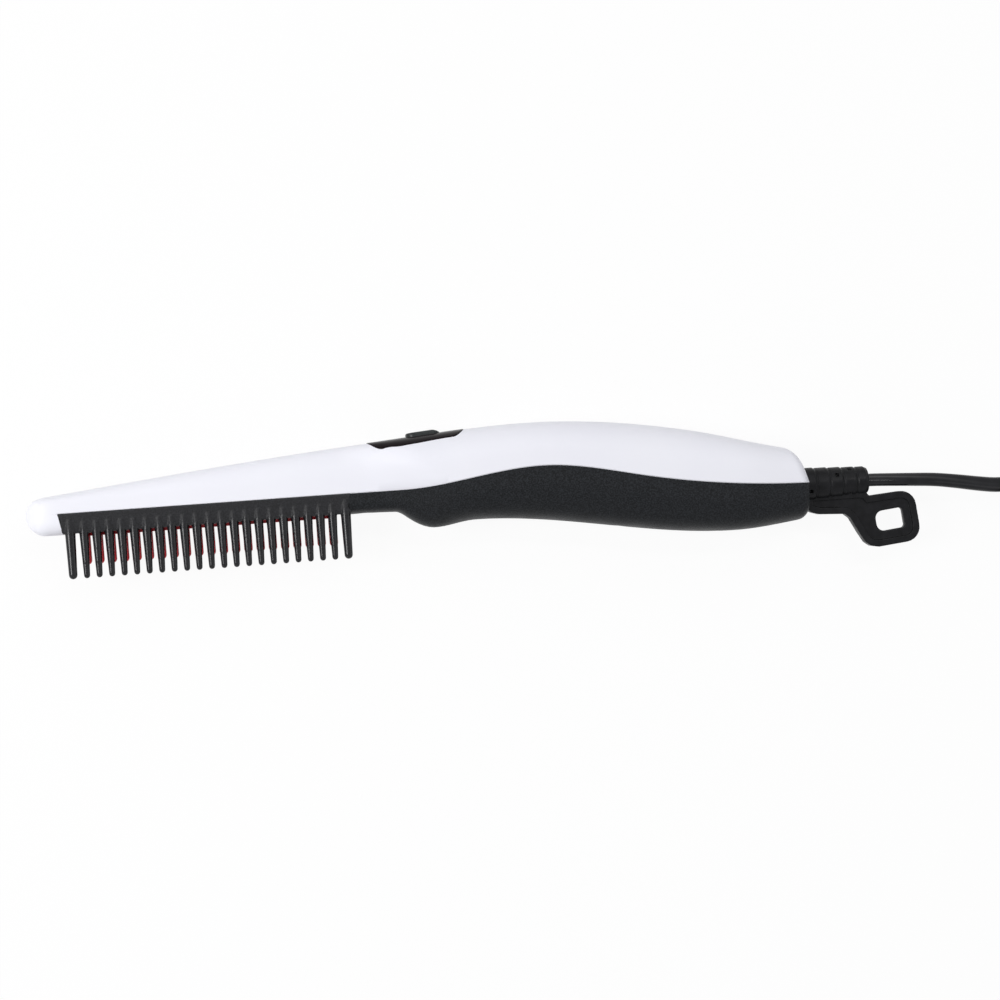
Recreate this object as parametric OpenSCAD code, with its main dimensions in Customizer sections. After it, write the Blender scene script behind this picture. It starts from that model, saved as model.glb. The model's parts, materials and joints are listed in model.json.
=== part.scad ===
// Electric hot comb, lying on its side.
// Drawing frame: x from the nose tip to the cord, y up from the head's seam to the
// button side, z across the width from the mid-plane. place() stands it on the floor.

/* [Body] */
// Length of the housing, nose tip to rear face
body_length = 252.6; // [250:0.1:265]
// Length of the head, nose tip to the end of the comb block
head_length = 103; // [103:0.5:106]
// Width of the head at the seam
head_width = 14.8; // [13.6:0.2:16]
// Width of the handle at the seam
handle_width = 27; // [25:0.5:30]
// Wall of the housing shells
wall = 1.8; // [1.5:0.1:2.2]
// Height of the flat band on each side of the seam
side_band = 3; // [2:0.25:3.5]
// Roundness of the sections, 2 is an ellipse
section_power = 2.6; // [2.3:0.1:3]
// Highest point of the back above the head's seam
crown_height = 18.65; // [18:0.05:20.5]
// Distance of the crown behind the head
crown_x = 56; // [53:1:60]
// Depth of the head below its seam
head_depth = 7; // [6.6:0.1:7.4]
// Radius that rounds the rear end
rear_round = 3; // [2:0.25:3.5]
// Gap left between parts that slide or turn
clearance = 0.3; // [0.25:0.05:0.4]

/* [Grip] */
// Distance behind the head of the lump under the handle
lump_x = 27; // [25:0.5:29]
// Depth of that lump
lump_depth = 13.2; // [12.5:0.1:14]
// Depth of the finger hollow behind it
hollow_depth = 11.6; // [11:0.1:12.4]
// Depth of the belly near the rear
belly_depth = 21.3; // [20:0.1:22]
// Distance of the belly before the rear end
belly_x = 23.6; // [21:0.2:28]
// Height of the seam's wave at the handle
wave_height = 4.3; // [3.5:0.1:5]
// Depth of the seam at the rear
seam_rear = 7.3; // [6.5:0.1:7.6]

/* [Comb] */
// Distance from tooth to tooth
tooth_pitch = 3.923; // [3.85:0.001:3.93]
// Distance from a stout end tooth to the first slim one
end_gap = 4.3; // [4.2:0.05:4.4]
// Reach of the teeth below the head's seam
tooth_reach = 21; // [18:0.5:24]
// Diameter of a slim tooth at its root
tooth_root = 3.05; // [2.7:0.05:3.1]
// Diameter of a slim tooth at its tip
tooth_tip = 1.65; // [1.5:0.05:2]
// Diameter of a stout tooth at its root
stout_root = 3.2; // [3:0.05:3.4]
// Diameter of a stout tooth at its tip
stout_tip = 2.4; // [2:0.05:2.6]
// Distance of the guard teeth in front of the mid-plane
guard_offset = 5.6; // [5.3:0.05:5.8]
// Wall of the guard
guard_wall = 1.7; // [1.5:0.1:1.8]

/* [Heating comb] */
// Width of a heating blade
blade_width = 2.7; // [2.4:0.05:2.8]
// Thickness of a heating blade across the head
blade_thick = 2.4; // [2:0.1:3]
// Reach of the heating blades below the head's seam
blade_reach = 17; // [15:0.25:18]
// Thickness of the heating bar across the head
bar_thick = 6; // [5:0.2:6.4]
// Depth of the bar's lower face below the head's seam
bar_depth = 7.8; // [7.6:0.1:8.4]
// Depth of the bar's upper face below the head's seam
bar_top = 2; // [1.6:0.1:2.4]
// Thickness of the ceramic heater
heater_thick = 2.6; // [2:0.1:3]

/* [Switch panel] */
// Distance of the panel behind the head
panel_front = 6.5; // [5:0.5:8]
// Length of the panel
panel_length = 31.8; // [30:0.1:34]
// Width of the panel at its front
panel_front_width = 16.4; // [15.6:0.1:16.6]
// Width of the panel at its rear
panel_rear_width = 18; // [17:0.1:18.4]
// Depth of the panel's seat under the crown
panel_depth = 3.6; // [3.4:0.1:3.8]
// How far the panel stands proud of the shell
panel_proud = 0.2; // [0.1:0.05:0.4]
// Length of the button
button_length = 11.2; // [10:0.2:12]
// Width of the button
button_width = 7.6; // [7:0.1:8]
// How far the button stands up
button_rise = 1.4; // [1.2:0.1:2.2]
// Travel of the button
button_travel = 0.5; // [0.3:0.05:0.6]

/* [Electronics] */
// Length of the circuit board
board_length = 58; // [52:1:60]
// Width of the circuit board
board_width = 15; // [13:0.5:15]
// Thickness of the circuit board
board_thick = 1.6; // [1.2:0.1:1.8]
// Depth of the board's face under the panel's crown
board_depth = 10.8; // [10.4:0.1:11]

/* [Cord swivel] */
// Depth of the swivel's axis below the head's seam
swivel_depth = 8; // [7.6:0.1:8.4]
// Diameter of the swivel's neck
neck_d = 9; // [8:0.25:9.5]
// Length of the strain relief behind the housing
relief_length = 21.1; // [20.8:0.1:22]
// Diameter of the strain relief at the housing
relief_d = 10.3; // [10:0.1:11]
// Diameter of the strain relief at the cord
relief_end_d = 8.4; // [8:0.1:9]
// Thickness of the hanging loop
loop_thick = 3.6; // [3:0.2:4]
// Thickness of the web inside the loop's rim
web_thick = 2.2; // [1.6:0.2:2.6]
// Width of the loop's raised rim
rim_width = 2.1; // [1.6:0.1:2.3]
// Length of the loop's ring
loop_length = 17; // [16.8:0.2:18]
// Height of the loop's ring
loop_height = 16.9; // [16.7:0.1:17.6]
// Length of the hole in the loop
hole_length = 9.6; // [8.4:0.2:10]
// Height of the hole in the loop
hole_height = 6.9; // [6.3:0.1:7.5]

/* [Fasteners] */
// Outside diameter of the screw bosses
boss_d = 6; // [5.6:0.2:6.4]
// Thread diameter of the shell screws
screw_d = 2.6; // [2.4:0.1:2.8]
// Head diameter of the shell screws
screw_head_d = 4.6; // [4.4:0.1:4.8]

/* [Hidden] */

$fn = 32;
// How far a cut runs past the face that it opens
past = 1;
head_half = head_width / 2;
handle_half = handle_width / 2;
seam_head = -0.3;
swivel_y = -swivel_depth;
relief_x = body_length + 0.5;
ring_round = 5;
loop_x = relief_x + 29.1;
loop_y = swivel_y - 13.3;
loop_tilt = 6;
loop_end = loop_x + max([for (p = ring_plan()) p[0]]);
// The origin lies midway between nose tip and loop, and above the swivel's axis
origin_x = loop_end / 2;
origin_y = swivel_y + 2.4;

// ---- curves of the body -------------------------------------------------------------

// A curve through stations of [x, height, slope]
function curve(p, x, i = 0) =
    x <= p[0][0] ? p[0][1] :
    i >= len(p) - 1 ? p[len(p) - 1][1] :
    x <= p[i + 1][0] ? hermite(p[i], p[i + 1], x) : curve(p, x, i + 1);
function hermite(a, b, x) =
    let (l = b[0] - a[0], t = (x - a[0]) / l)
    (2 * t^3 - 3 * t^2 + 1) * a[1] + (t^3 - 2 * t^2 + t) * l * a[2]
    + (3 * t^2 - 2 * t^3) * b[1] + (t^3 - t^2) * l * b[2];
function clamp01(t) = min(1, max(0, t));
function smooth(t) = let (u = clamp01(t)) u * u * (3 - 2 * u);
// Quarter of a circle that closes a form over the length r
function close_off(x, r) = x >= r ? 1 : sqrt(max(0, 1 - (1 - x / r)^2));

nose_round = 6.4;
comb_front = 10.7;
front_slant = 1.2;
wave_start = head_length + 17;
bend_x = head_length + 15.4;
bend_end = bend_x + 1;
lump_at = head_length + lump_x;
shoulder_at = head_length + 6;
crown_at = head_length + crown_x;
belly_at = body_length - belly_x;
grip_x = head_length + 42;
wave_at = crown_at + 5.5;
wave_end = wave_at + 0.386 * (body_length - wave_at);
BACK = [[5, 5.2, 0.108], [shoulder_at, 15.4, 0.072], [crown_at, crown_height, 0.012],
    [crown_at + 40, 15.6, -0.155], [body_length, 4.1, -0.235]];
SEAM = [[head_length, seam_head, 0], [wave_start, seam_head, 0], [wave_at, wave_height, 0],
    [wave_end, -1.3, -0.21], [body_length, -seam_rear, -0.02]];
BELLY = [[head_length, -head_depth, 0.02], [bend_x, -head_depth - 0.3, -0.05],
    [bend_end, -head_depth - 0.9, -0.85], [lump_at, -lump_depth, 0], [lump_at + 13, -hollow_depth, 0],
    [belly_at, -belly_depth, 0], [body_length, -19.1, 0.12]];

function back(x) = curve(BACK, x) * close_off(x, nose_round);
function seam(x) = curve(SEAM, x);
function belly(x) = curve(BELLY, x);
function chin(x) = -head_depth * close_off(x, nose_round);
// The slanted face between the nose and the comb block
function slant_x(y) = comb_front + front_slant * (seam_head - y) / (head_depth + seam_head);

// The head flares into the handle over a stretch that leans back below the seam
flare_x = head_length + 9;
flare_length = 24;
flare_lean = 0.9;
rear_taper = 1.2;
rear_taper_length = 22;
nose_blunt = 0.35;
nose_plan_length = 9;
function half_width(x, y) =
    (head_half + (handle_half - head_half) * smooth((x - flare_x + flare_lean * y) / flare_length)
    - rear_taper * smooth((x - body_length + rear_taper_length) / rear_taper_length))
    * (nose_blunt + (1 - nose_blunt) * close_off(x, nose_plan_length)) * close_off(x, nose_round);

// The rear face of the upper shell leans forward
rear_lean = 0.3;
lean_length = 40;
function lean(x, y) =
    x - rear_lean * max(0, y - seam(x)) * smooth((x - body_length + lean_length) / lean_length);
function rounded_in(x) =
    let (d = x - body_length + rear_round) d <= 0 ? 0 : rear_round - sqrt(max(0, rear_round^2 - d^2));

arch_steps = 16;
band_share = 0.42;
chin_power = 3.2;
// One arch of the section, from the front seam edge to the rear one.
// side is 1 above the seam and -1 below it, inset moves it inwards.
function arch(x, side, inset, top) =
    let (y0 = seam(x), band = min(side_band, band_share * abs(top - y0)),
        rise = abs(top - y0) - band - inset)
    [for (k = [-1 : arch_steps + 1])
        let (a = 180 * min(arch_steps, max(0, k)) / arch_steps,
            edge = k == -1 || k == arch_steps + 1,
            y = edge ? y0 : y0 + side * (band + rise * pow(sin(a), 2 / section_power)),
            z = (half_width(x, y) - inset) * sign(cos(a)) * pow(abs(cos(a)), 2 / section_power))
        [side > 0 ? lean(x, y) : x, y, z]];

// Two rows of point numbers joined into triangles
function strip(a, b) =
    [for (k = [0 : len(a) - 2]) each [[a[k], a[k + 1], b[k + 1]], [a[k], b[k + 1], b[k]]]];
function flip(faces) = [for (t = faces) [t[2], t[1], t[0]]];
function row(start, n) = [for (j = [0 : n - 1]) start + j];
// A fan of triangles from a point over a row of points
function fan(point, r) = [for (j = [0 : len(r) - 2]) [point, r[j], r[j + 1]]];

// An open shell lofted along stations: outer and inner arches, the two seam edges,
// the front edge and the closed rear end. nose holds stations of closed rings before it.
module lofted_shell(stations, side, inner_stations, nose = []) {
    m = arch_steps + 3;
    n = len(stations);
    k = len(nose);
    closed = k > 0;
    outer = [for (x = stations) arch(x, side, rounded_in(x), side > 0 ? back(x) : belly(x))];
    inner = [for (x = inner_stations)
        arch(x, side, wall + rounded_in(x + wall), side > 0 ? back(x) : belly(x))];
    over = [for (x = nose) arch(x, 1, 0, back(x))];
    // Lower halves of the closed rings, without their seam points. The last one slants back.
    under = [for (x = closed ? concat(nose, [stations[0]]) : [])
        [for (j = [1 : m - 2])
            let (a = 180 * j / (m - 1), y = seam(x) + (chin(x) - seam(x)) * pow(sin(a), 2 / chin_power))
            [x == stations[0] ? slant_x(y) : x, y,
                half_width(x, seam(x)) * sign(cos(a)) * pow(abs(cos(a)), 2 / chin_power)]]];
    // Points under the inner arch on the line where the slanted face starts
    sill = closed ? [for (j = [2 : m - 3]) [stations[0], seam(stations[0]), inner[0][j][2]]] : [];
    points = concat([for (r = outer) each r], [for (r = inner) each r],
        [for (r = over) each r], [for (r = under) each r], sill, closed ? [[0, 0, 0]] : []);
    out = [for (i = [0 : n - 1]) row(i * m, m)];
    in = [for (i = [0 : n - 1]) row((n + i) * m, m)];
    hood = [for (i = [0 : k]) i == k ? out[0] : row((2 * n + i) * m, m)];
    jaw = [for (i = [0 : k])
        concat(hood[i][0], row((2 * n + k) * m + i * (m - 2), m - 2), hood[i][m - 1])];
    tip = len(points) - 1;
    last = m - 1;
    skin = [for (i = [0 : n - 2]) each concat(
        strip(out[i], out[i + 1]),
        flip(strip(in[i], in[i + 1])),
        strip([in[i][0], out[i][0]], [in[i + 1][0], out[i + 1][0]]),
        strip([out[i][last], in[i][last]], [out[i + 1][last], in[i + 1][last]]))];
    rear_out = out[n - 1];
    rear_in = in[n - 1];
    rear = concat(fan(rear_out[0], rear_out), flip(fan(rear_in[0], rear_in)),
        strip([rear_in[0], rear_out[0]], [rear_in[last], rear_out[last]]));
    line = row(tip - (m - 4), m - 4);
    front = !closed ? flip(strip(out[0], in[0])) : concat(
        strip(in[0], concat(in[0][0], in[0][0], line, in[0][last], in[0][last])),
        strip(concat(jaw[k][0], in[0][0], line, in[0][last], jaw[k][last]), jaw[k]));
    cap = !closed ? [] : concat(
        [for (i = [0 : k - 1]) each concat(strip(hood[i], hood[i + 1]), flip(strip(jaw[i], jaw[i + 1])))],
        flip(fan(tip, hood[0])), fan(tip, jaw[0]));
    faces = [for (f = concat(skin, rear, front, cap)) if (f[0] != f[1] && f[1] != f[2] && f[0] != f[2]) f];
    polyhedron(points, side > 0 ? faces : flip(faces), convexity = 8);
}

// n stations from a on, the last one a step before b
function stations_to(a, b, n) = [for (i = [0 : n - 1]) a + i * (b - a) / n];
// Stations that close in on a rear end at x
function rear_stations(x) = [for (a = [0 : 22.5 : 90]) x - rear_round * (1 - sin(a))];
rear_wall = 2.7;
rear_blend = 9;
// The same stations for the inner face, drawn in from the rear end by its wall
function inner_stations(list, rear) =
    [for (x = list) x - max(0, x - rear + rear_blend) * rear_wall / rear_blend];

// Moves the drawing onto the floor, centred on the object's box
module place() {
    translate([-origin_x, -origin_y, handle_half]) children();
}

// Stands its children on the panel: origin at the button's middle on the panel's crown,
// x along the panel, y out of it
module on_panel() {
    translate([button_x, back(button_x), 0]) rotate([0, 0, panel_slope]) children();
}
// A cylinder along y, from y0 to y1
module upright(d, y0, y1, d1 = undef) {
    translate([0, y0, 0]) rotate([-90, 0, 0])
        cylinder(h = y1 - y0, d1 = is_undef(d1) ? d : d1, d2 = d);
}
// A cylinder along x, from x0 to x1
module axle(d, x0, x1, d1 = undef) {
    translate([x0, 0, 0]) rotate([0, 90, 0])
        cylinder(h = x1 - x0, d1 = is_undef(d1) ? d : d1, d2 = d);
}
module block(x0, x1, y0, y1, z0, z1) {
    translate([x0, y0, z0]) cube([x1 - x0, y1 - y0, z1 - z0]);
}
// Extrudes a plan drawn in x and z upwards along y, from y0 to y1
module plan(y0, y1) {
    translate([0, y1, 0]) rotate([90, 0, 0]) linear_extrude(y1 - y0) children();
}
// A rectangle with round corners, as points. r is a radius, or one for each corner.
function round_box(l, w, r, turn = 0) =
    [for (c = [[1, 1, 0], [-1, 1, 1], [-1, -1, 2], [1, -1, 3]], a = [0 : 15 : 90])
        let (q = is_list(r) ? r[c[2]] : r, t = 90 * c[2] + a,
            x = c[0] * (l / 2 - q) + q * cos(t), y = c[1] * (w / 2 - q) + q * sin(t))
        [x * cos(turn) - y * sin(turn), x * sin(turn) + y * cos(turn)]];
// A closed line of points, drawn anticlockwise, moved outwards by a margin
function grown(p, margin) =
    [for (i = [0 : len(p) - 1])
        let (v = p[i] - p[(i + len(p) - 1) % len(p)], w = p[(i + 1) % len(p)] - p[i],
            a = v / norm(v), b = w / norm(w), n = [a[1] + b[1], -a[0] - b[0]])
        p[i] + margin * n / (1 + a * b)];
// A tube swept along points, square to the path at each
module swept_tube(path, d, sides) {
    n = len(path);
    function ahead(i) = let (v = path[min(n - 1, i + 1)] - path[max(0, i - 1)]) v / norm(v);
    points = [for (i = [0 : n - 1])
        let (t = ahead(i), c = cross(t, [0, 0, 1]), s = c / norm(c), u = cross(s, t))
        for (k = [0 : sides - 1]) path[i] + d / 2 * (s * cos(360 * k / sides) + u * sin(360 * k / sides))];
    skin = [for (i = [0 : n - 2], k = [0 : sides - 1])
        let (a = i * sides + k, b = i * sides + (k + 1) % sides)
        each [[a, a + sides, b + sides], [a, b + sides, b]]];
    ends = concat([for (k = [1 : sides - 2]) [0, k, k + 1]],
        [for (k = [1 : sides - 2]) [(n - 1) * sides, (n - 1) * sides + k + 1, (n - 1) * sides + k]]);
    polyhedron(points, concat(skin, ends), convexity = 6);
}

// ---- housing ------------------------------------------------------------------------

panel_at = head_length + panel_front;
button_x = panel_at + 18.5;
panel_slope = atan((back(panel_at + panel_length) - back(panel_at)) / panel_length);
board_front = -6;
board_rear = board_front + board_length;
boss_x = [head_length + 4.5, button_x + board_rear + 10.5, body_length - 31];
boss_split = 0.6;
thread_d = screw_d - 0.3;
thread_reach = 7;
screw_head = 1.8;
bay_floor = 1.4;
bay_margin = 1.6;
plan_margin = 0.1;
panel_nose = 5.5;
panel_tail = 3.8;
// How far the floor under the panel reaches past its ends, and keeps inside its sides
bay_end = 1;
bay_inset = 0.3;
bay_end_half = 6;
neck_hole_d = neck_d + 2 * clearance;

// Where a screw's head sits in its boss
function head_seat(x) = belly(x) + 2.6;
// The panel's plan in panel coordinates: a long shield with elliptic ends
function panel_plan(grow) =
    let (x0 = panel_at - button_x - grow, x1 = x0 + panel_length + 2 * grow,
        a = panel_front_width / 2 + grow, b = panel_rear_width / 2 + grow)
    concat([for (t = [90 : 10 : 270]) [x0 + panel_nose * (1 + cos(t)), a * sin(t)]],
        [for (t = [-90 : 10 : 90]) [x1 - panel_tail * (1 - cos(t)), b * sin(t)]]);

module neck_hole() {
    translate([0, swivel_y, 0]) axle(neck_hole_d, body_length - rear_blend, body_length + past);
}

module upper_shell() {
    stations = concat(stations_to(comb_front, head_length, 9), stations_to(head_length, grip_x, 9),
        stations_to(grip_x, body_length - rear_round, 13), rear_stations(body_length));
    color("white") place() difference() {
        union() {
            lofted_shell(stations, 1, inner_stations(stations, body_length), [0.3, 0.9, 1.9, 3.2, 5, 7.4]);
            on_panel() {
                block(panel_at - button_x - bay_end, panel_at - button_x + panel_length + bay_end,
                    -panel_depth - bay_floor, -panel_depth, -bay_end_half, bay_end_half);
                plan(-panel_depth - bay_floor, -panel_depth) polygon(panel_plan(-bay_inset));
            }
            for (x = boss_x)
                translate([x, 0, 0]) upright(boss_d, seam(x) + boss_split, back(x) - wall / 2);
            on_panel() for (at = board_screw_at)
                translate([at[0], 0, at[1]]) upright(board_post_d, -board_depth, board_post_top(at[0]));
        }
        // Seat of the switch panel, and the window in its floor
        on_panel() plan(-panel_depth, crown_height) polygon(panel_plan(plan_margin));
        on_panel() plan(-panel_depth - bay_floor - past, -panel_depth + past)
            polygon(round_box(button_length + 2 * bay_margin, button_width + 2 * bay_margin, 2.6));
        for (x = boss_x)
            translate([x, 0, 0]) upright(thread_d, seam(x), seam(x) + thread_reach + past);
        on_panel() for (at = board_screw_at) translate([at[0], 0, at[1]])
            upright(board_thread_d, -board_depth - past, -board_depth + board_thread + 0.5);
        neck_hole();
    }
}

shell_step = 0.6;
module lower_shell() {
    rear = body_length - shell_step;
    stations = concat(stations_to(head_length, bend_x, 4), [bend_x], stations_to(bend_end, grip_x, 8),
        stations_to(grip_x, rear - rear_round, 14), rear_stations(rear));
    color([0.16, 0.16, 0.17]) place() difference() {
        union() {
            lofted_shell(stations, -1, inner_stations(stations, rear));
            for (x = boss_x)
                translate([x, 0, 0]) upright(boss_d, belly(x) + wall / 2, seam(x) + boss_split);
        }
        for (x = boss_x) translate([x, 0, 0]) {
            upright(screw_d + 0.4, belly(x) - past, seam(x) + past);
            upright(screw_head_d + 2 * clearance, belly(x) - past, head_seat(x));
        }
        neck_hole();
    }
}

// ---- comb ---------------------------------------------------------------------------

first_tooth = comb_front + 3.4;
first_slim = first_tooth + end_gap;
// As many slim teeth as fit before the last stout one
end_land = 1.6;
slim_teeth = 1 + floor((head_length - end_land - first_slim - end_gap) / tooth_pitch);
last_slim = first_slim + (slim_teeth - 1) * tooth_pitch;
last_tooth = last_slim + end_gap;
slim_x = [for (i = [0 : slim_teeth - 1]) first_slim + i * tooth_pitch];
guard_depth = head_depth - 0.4;
guard_lean = 1.2;
rib_top = -2.2;
bar_front = first_slim - blade_width / 2;
bar_rear = last_slim + blade_width / 2;
tab_length = 2.4;
tab_thick = 2.2;
// Tongues of the guard that stand inside the upper shell
tongue_height = 2.2;
tongue_thick = 1.2;
tongue_length = 12;
tongue_foot = 1.2;
tongue_x = [for (k = [0 : 2]) bar_front + 3 + k * (bar_rear - bar_front - 6 - tongue_length) / 2];

// A tapered tooth with a round tip, from the guard's wall down
module guard_tooth(x, root, tip) {
    translate([x, 0, guard_offset]) {
        upright(root, -tooth_reach + tip / 2, rib_top, tip);
        translate([0, -tooth_reach + tip / 2, 0]) sphere(d = tip);
    }
}
// Extrudes a section of the head, drawn in y and z, along x
module along_head(x0, x1) {
    translate([x0, 0, 0]) rotate([90, 0, 90]) linear_extrude(x1 - x0) children();
}

// A tongue that stands inside the upper shell, on a foot on the guard's wall
module guard_tongue(x) {
    inner = head_half - wall - clearance - tongue_thick;
    block(x, x + tongue_length, seam_head - tongue_foot, seam_head + tongue_height,
        inner, inner + tongue_thick);
    block(x, x + tongue_length, seam_head - tongue_foot, seam_head, inner, head_half - guard_wall / 2);
}

module comb_guard() {
    foot = head_half - guard_lean;
    color([0.15, 0.15, 0.16]) place() difference() {
        union() {
            intersection() {
                union() {
                    // Two walls whose outer faces lean in downwards
                    for (side = [0, 1]) mirror([0, 0, side]) along_head(comb_front, head_length)
                        polygon([[seam_head, head_half], [seam_head, head_half - guard_wall],
                            [-guard_depth, foot - guard_wall], [-guard_depth, foot]]);
                    // Solid blocks at both ends
                    for (x = [[comb_front, bar_front], [bar_rear, head_length]]) along_head(x[0], x[1])
                        polygon([[seam_head, -head_half], [seam_head, head_half],
                            [-guard_depth, foot], [-guard_depth, -foot]]);
                }
                translate([0, 0, -head_width]) linear_extrude(2 * head_width)
                    polygon([[comb_front, seam_head], [slant_x(-head_depth), -head_depth],
                        [head_length, -head_depth], [head_length, seam_head]]);
            }
            for (side = [0, 1], x = tongue_x) mirror([0, 0, side]) guard_tongue(x);
            guard_tooth(first_tooth, stout_root, stout_tip);
            guard_tooth(last_tooth, stout_root, stout_tip);
            for (x = slim_x) guard_tooth(x, tooth_root, tooth_tip);
        }
        // Pockets that hold the tabs of the heating comb, open upwards
        block(bar_front - tab_length, bar_rear + tab_length, -bar_top - tab_thick, seam_head + past,
            -bar_thick / 2, bar_thick / 2);
    }
}

// A heating blade with a round end, drawn in x and y
module blade_outline(x) {
    tip_y = -blade_reach + blade_width / 2;
    translate([x - blade_width / 2, tip_y]) square([blade_width, -bar_depth - tip_y + past]);
    translate([x, tip_y]) circle(d = blade_width);
}

module heating_comb() {
    color([0.6, 0.04, 0.06]) place() union() {
        translate([0, 0, -blade_thick / 2]) linear_extrude(blade_thick) for (x = slim_x) blade_outline(x);
        block(bar_front, bar_rear, -bar_depth, -bar_top, -bar_thick / 2, bar_thick / 2);
        block(bar_front - tab_length, bar_rear + tab_length, -bar_top - tab_thick, -bar_top,
            -bar_thick / 2, bar_thick / 2);
    }
}

// ---- heater stack -------------------------------------------------------------------

clamp_foot = 6;
clamp_thick = 0.6;
clamp_half = 2.2;
clamp_gap = 0.8;
mica_thick = 0.4;
heater_half = 2.4;
heater_front = bar_front + clamp_foot;
heater_rear = bar_rear - clamp_foot;
heater_y = -bar_top;
mica_y = heater_y + heater_thick;
clamp_y = mica_y + mica_thick;
stack_top = clamp_y + clamp_thick;
clamp_screw_x = [bar_front + 1.6, bar_rear - 1.6];
clamp_hole_d = 2.2;
sensor_x = (heater_front + heater_rear) / 2 - 1.2;
sensor_z = -1.1;
sensor_d = 1.8;
sensor_length = 4;
fuse_x = heater_rear - 17.8;
fuse_z = 0.6;
fuse_d = 3;
fuse_length = 9;
fuse_wire = 3;

module ceramic_heater() {
    color([0.85, 0.82, 0.76]) place()
        block(heater_front, heater_rear, heater_y, mica_y, -heater_half, heater_half);
}

module mica_sheet() {
    color([0.72, 0.66, 0.5]) place()
        block(heater_front + 1, heater_rear - 1, mica_y, clamp_y, -heater_half, heater_half);
}

// A bent strip that bridges the heater and is screwed down on the bar at both ends
module heater_clamp() {
    front = heater_front - clamp_gap;
    rear = heater_rear + clamp_gap;
    color("silver") place() difference() {
        union() {
            for (x = [[bar_front, front], [rear, bar_rear]])
                block(x[0], x[1], heater_y, heater_y + clamp_thick, -clamp_half, clamp_half);
            for (x = [front - clamp_thick, rear])
                block(x, x + clamp_thick, heater_y, stack_top, -clamp_half, clamp_half);
            block(front - clamp_thick, rear + clamp_thick, clamp_y, stack_top, -clamp_half, clamp_half);
        }
        for (x = clamp_screw_x)
            translate([x, 0, 0]) upright(clamp_hole_d, heater_y - past, heater_y + clamp_thick + past);
    }
}

module clamp_screws() {
    color("silver") place() for (x = clamp_screw_x) translate([x, heater_y, 0]) {
        upright(clamp_hole_d, 0, clamp_thick);
        upright(3, clamp_thick, clamp_thick + 1.2);
    }
}

module temperature_sensor() {
    color([0.75, 0.4, 0.15]) place() translate([sensor_x, stack_top + sensor_d / 2, sensor_z]) {
        axle(sensor_d, 0, sensor_length);
        sphere(d = sensor_d);
    }
}

// An axial fuse with its two wires
module thermal_fuse() {
    color([0.8, 0.75, 0.5]) place() translate([fuse_x, stack_top + fuse_d / 2, fuse_z]) {
        axle(fuse_d, 0, fuse_length);
        axle(0.8, -fuse_wire, fuse_length + fuse_wire);
    }
}

// ---- switch and electronics, in panel coordinates -------------------------------------

flange_margin = 1.2;
flange_thick = 1;
flange_y = -panel_depth - flange_thick;
stem_d = 4;
plunger_d = 3.4;
switch_size = 6.2;
switch_y = 3.6 - board_depth;
plunger_y = switch_y + button_travel + 0.5;
button_round = 0.6;

module switch_panel() {
    color([0.05, 0.05, 0.06]) place() difference() {
        intersection() {
            translate([0, panel_proud, 0]) panel_block();
            on_panel() plan(-panel_depth, crown_height) polygon(panel_plan(0));
        }
        on_panel() plan(-panel_depth - past, crown_height)
            polygon(round_box(button_length + 2 * clearance, button_width + 2 * clearance,
                button_corner + clearance));
    }
}
panel_half_span = 9.6;
panel_strips = 20;
// The body's back over the panel's length, on a block that is flat below
module panel_block() {
    stations = stations_to(panel_at - 2, panel_at + panel_length + 2.4, 9);
    m = panel_strips + 1;
    n = len(stations);
    across = [for (j = [0 : panel_strips]) panel_half_span * (2 * j / panel_strips - 1)];
    bottom = back(panel_at) - 2 * panel_depth;
    points = concat([for (x = stations) for (z = across) [x, max(skin_y(x, z), bottom + past), z]],
        [for (x = stations) for (z = across) [x, bottom, z]]);
    top = [for (i = [0 : n - 1]) row(i * m, m)];
    low = [for (i = [0 : n - 1]) row((n + i) * m, m)];
    faces = concat(
        [for (i = [0 : n - 2]) each concat(strip(top[i], top[i + 1]), flip(strip(low[i], low[i + 1])),
            strip([low[i][0], top[i][0]], [low[i + 1][0], top[i + 1][0]]),
            strip([top[i][m - 1], low[i][m - 1]], [top[i + 1][m - 1], low[i + 1][m - 1]]))],
        flip(strip(top[0], low[0])), strip(top[n - 1], low[n - 1]));
    polyhedron(points, flip(faces), convexity = 4);
}
// Height of the upper shell's outer face at x and z. The width that it starts from is the
// one at the height y, found in three rounds.
function skin_y(x, z, y = undef, rounds = 3) =
    let (y0 = seam(x) + side_band, w = half_width(x, is_undef(y) ? back(x) : y),
        u = min(1, abs(z) / w),
        next = y0 + (back(x) - y0) * pow(1 - pow(u, section_power), 1 / section_power))
    rounds == 1 ? next : skin_y(x, z, next, rounds - 1);

// A cap with a rounded rim and a sloping tail, on a flange that the panel holds down
button_tail = 2.4;
tail_rise = 0.4;
button_corner = 2.6;
module power_button() {
    color([0.2, 0.2, 0.21]) place() on_panel() {
        plan(flange_y, -panel_depth)
            polygon(round_box(button_length + 2 * flange_margin, button_width + 2 * flange_margin, 2.4));
        hull() {
            plan(-panel_depth, tail_rise) polygon(round_box(button_length, button_width, button_corner));
            for (k = [0 : 4]) {
                a = 22.5 * k;
                inset = button_round * (1 - cos(a));
                top = button_rise - button_round * (1 - sin(a));
                plan(-panel_depth, top) translate([-button_tail / 2, 0]) polygon(round_box(
                    button_length - button_tail - 2 * inset, button_width - 2 * inset,
                    button_corner - inset));
            }
        }
        upright(stem_d, plunger_y, flange_y);
    }
}

module switch_plunger() {
    color([0.1, 0.1, 0.1]) place() on_panel() upright(plunger_d, switch_y - 1, plunger_y);
}

module tact_switch() {
    half = switch_size / 2;
    color([0.3, 0.3, 0.32]) place() on_panel() difference() {
        block(-half, half, -board_depth, switch_y, -half, half);
        upright(plunger_d + 0.2, switch_y - 1.2 - button_travel, switch_y + past);
    }
}

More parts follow.
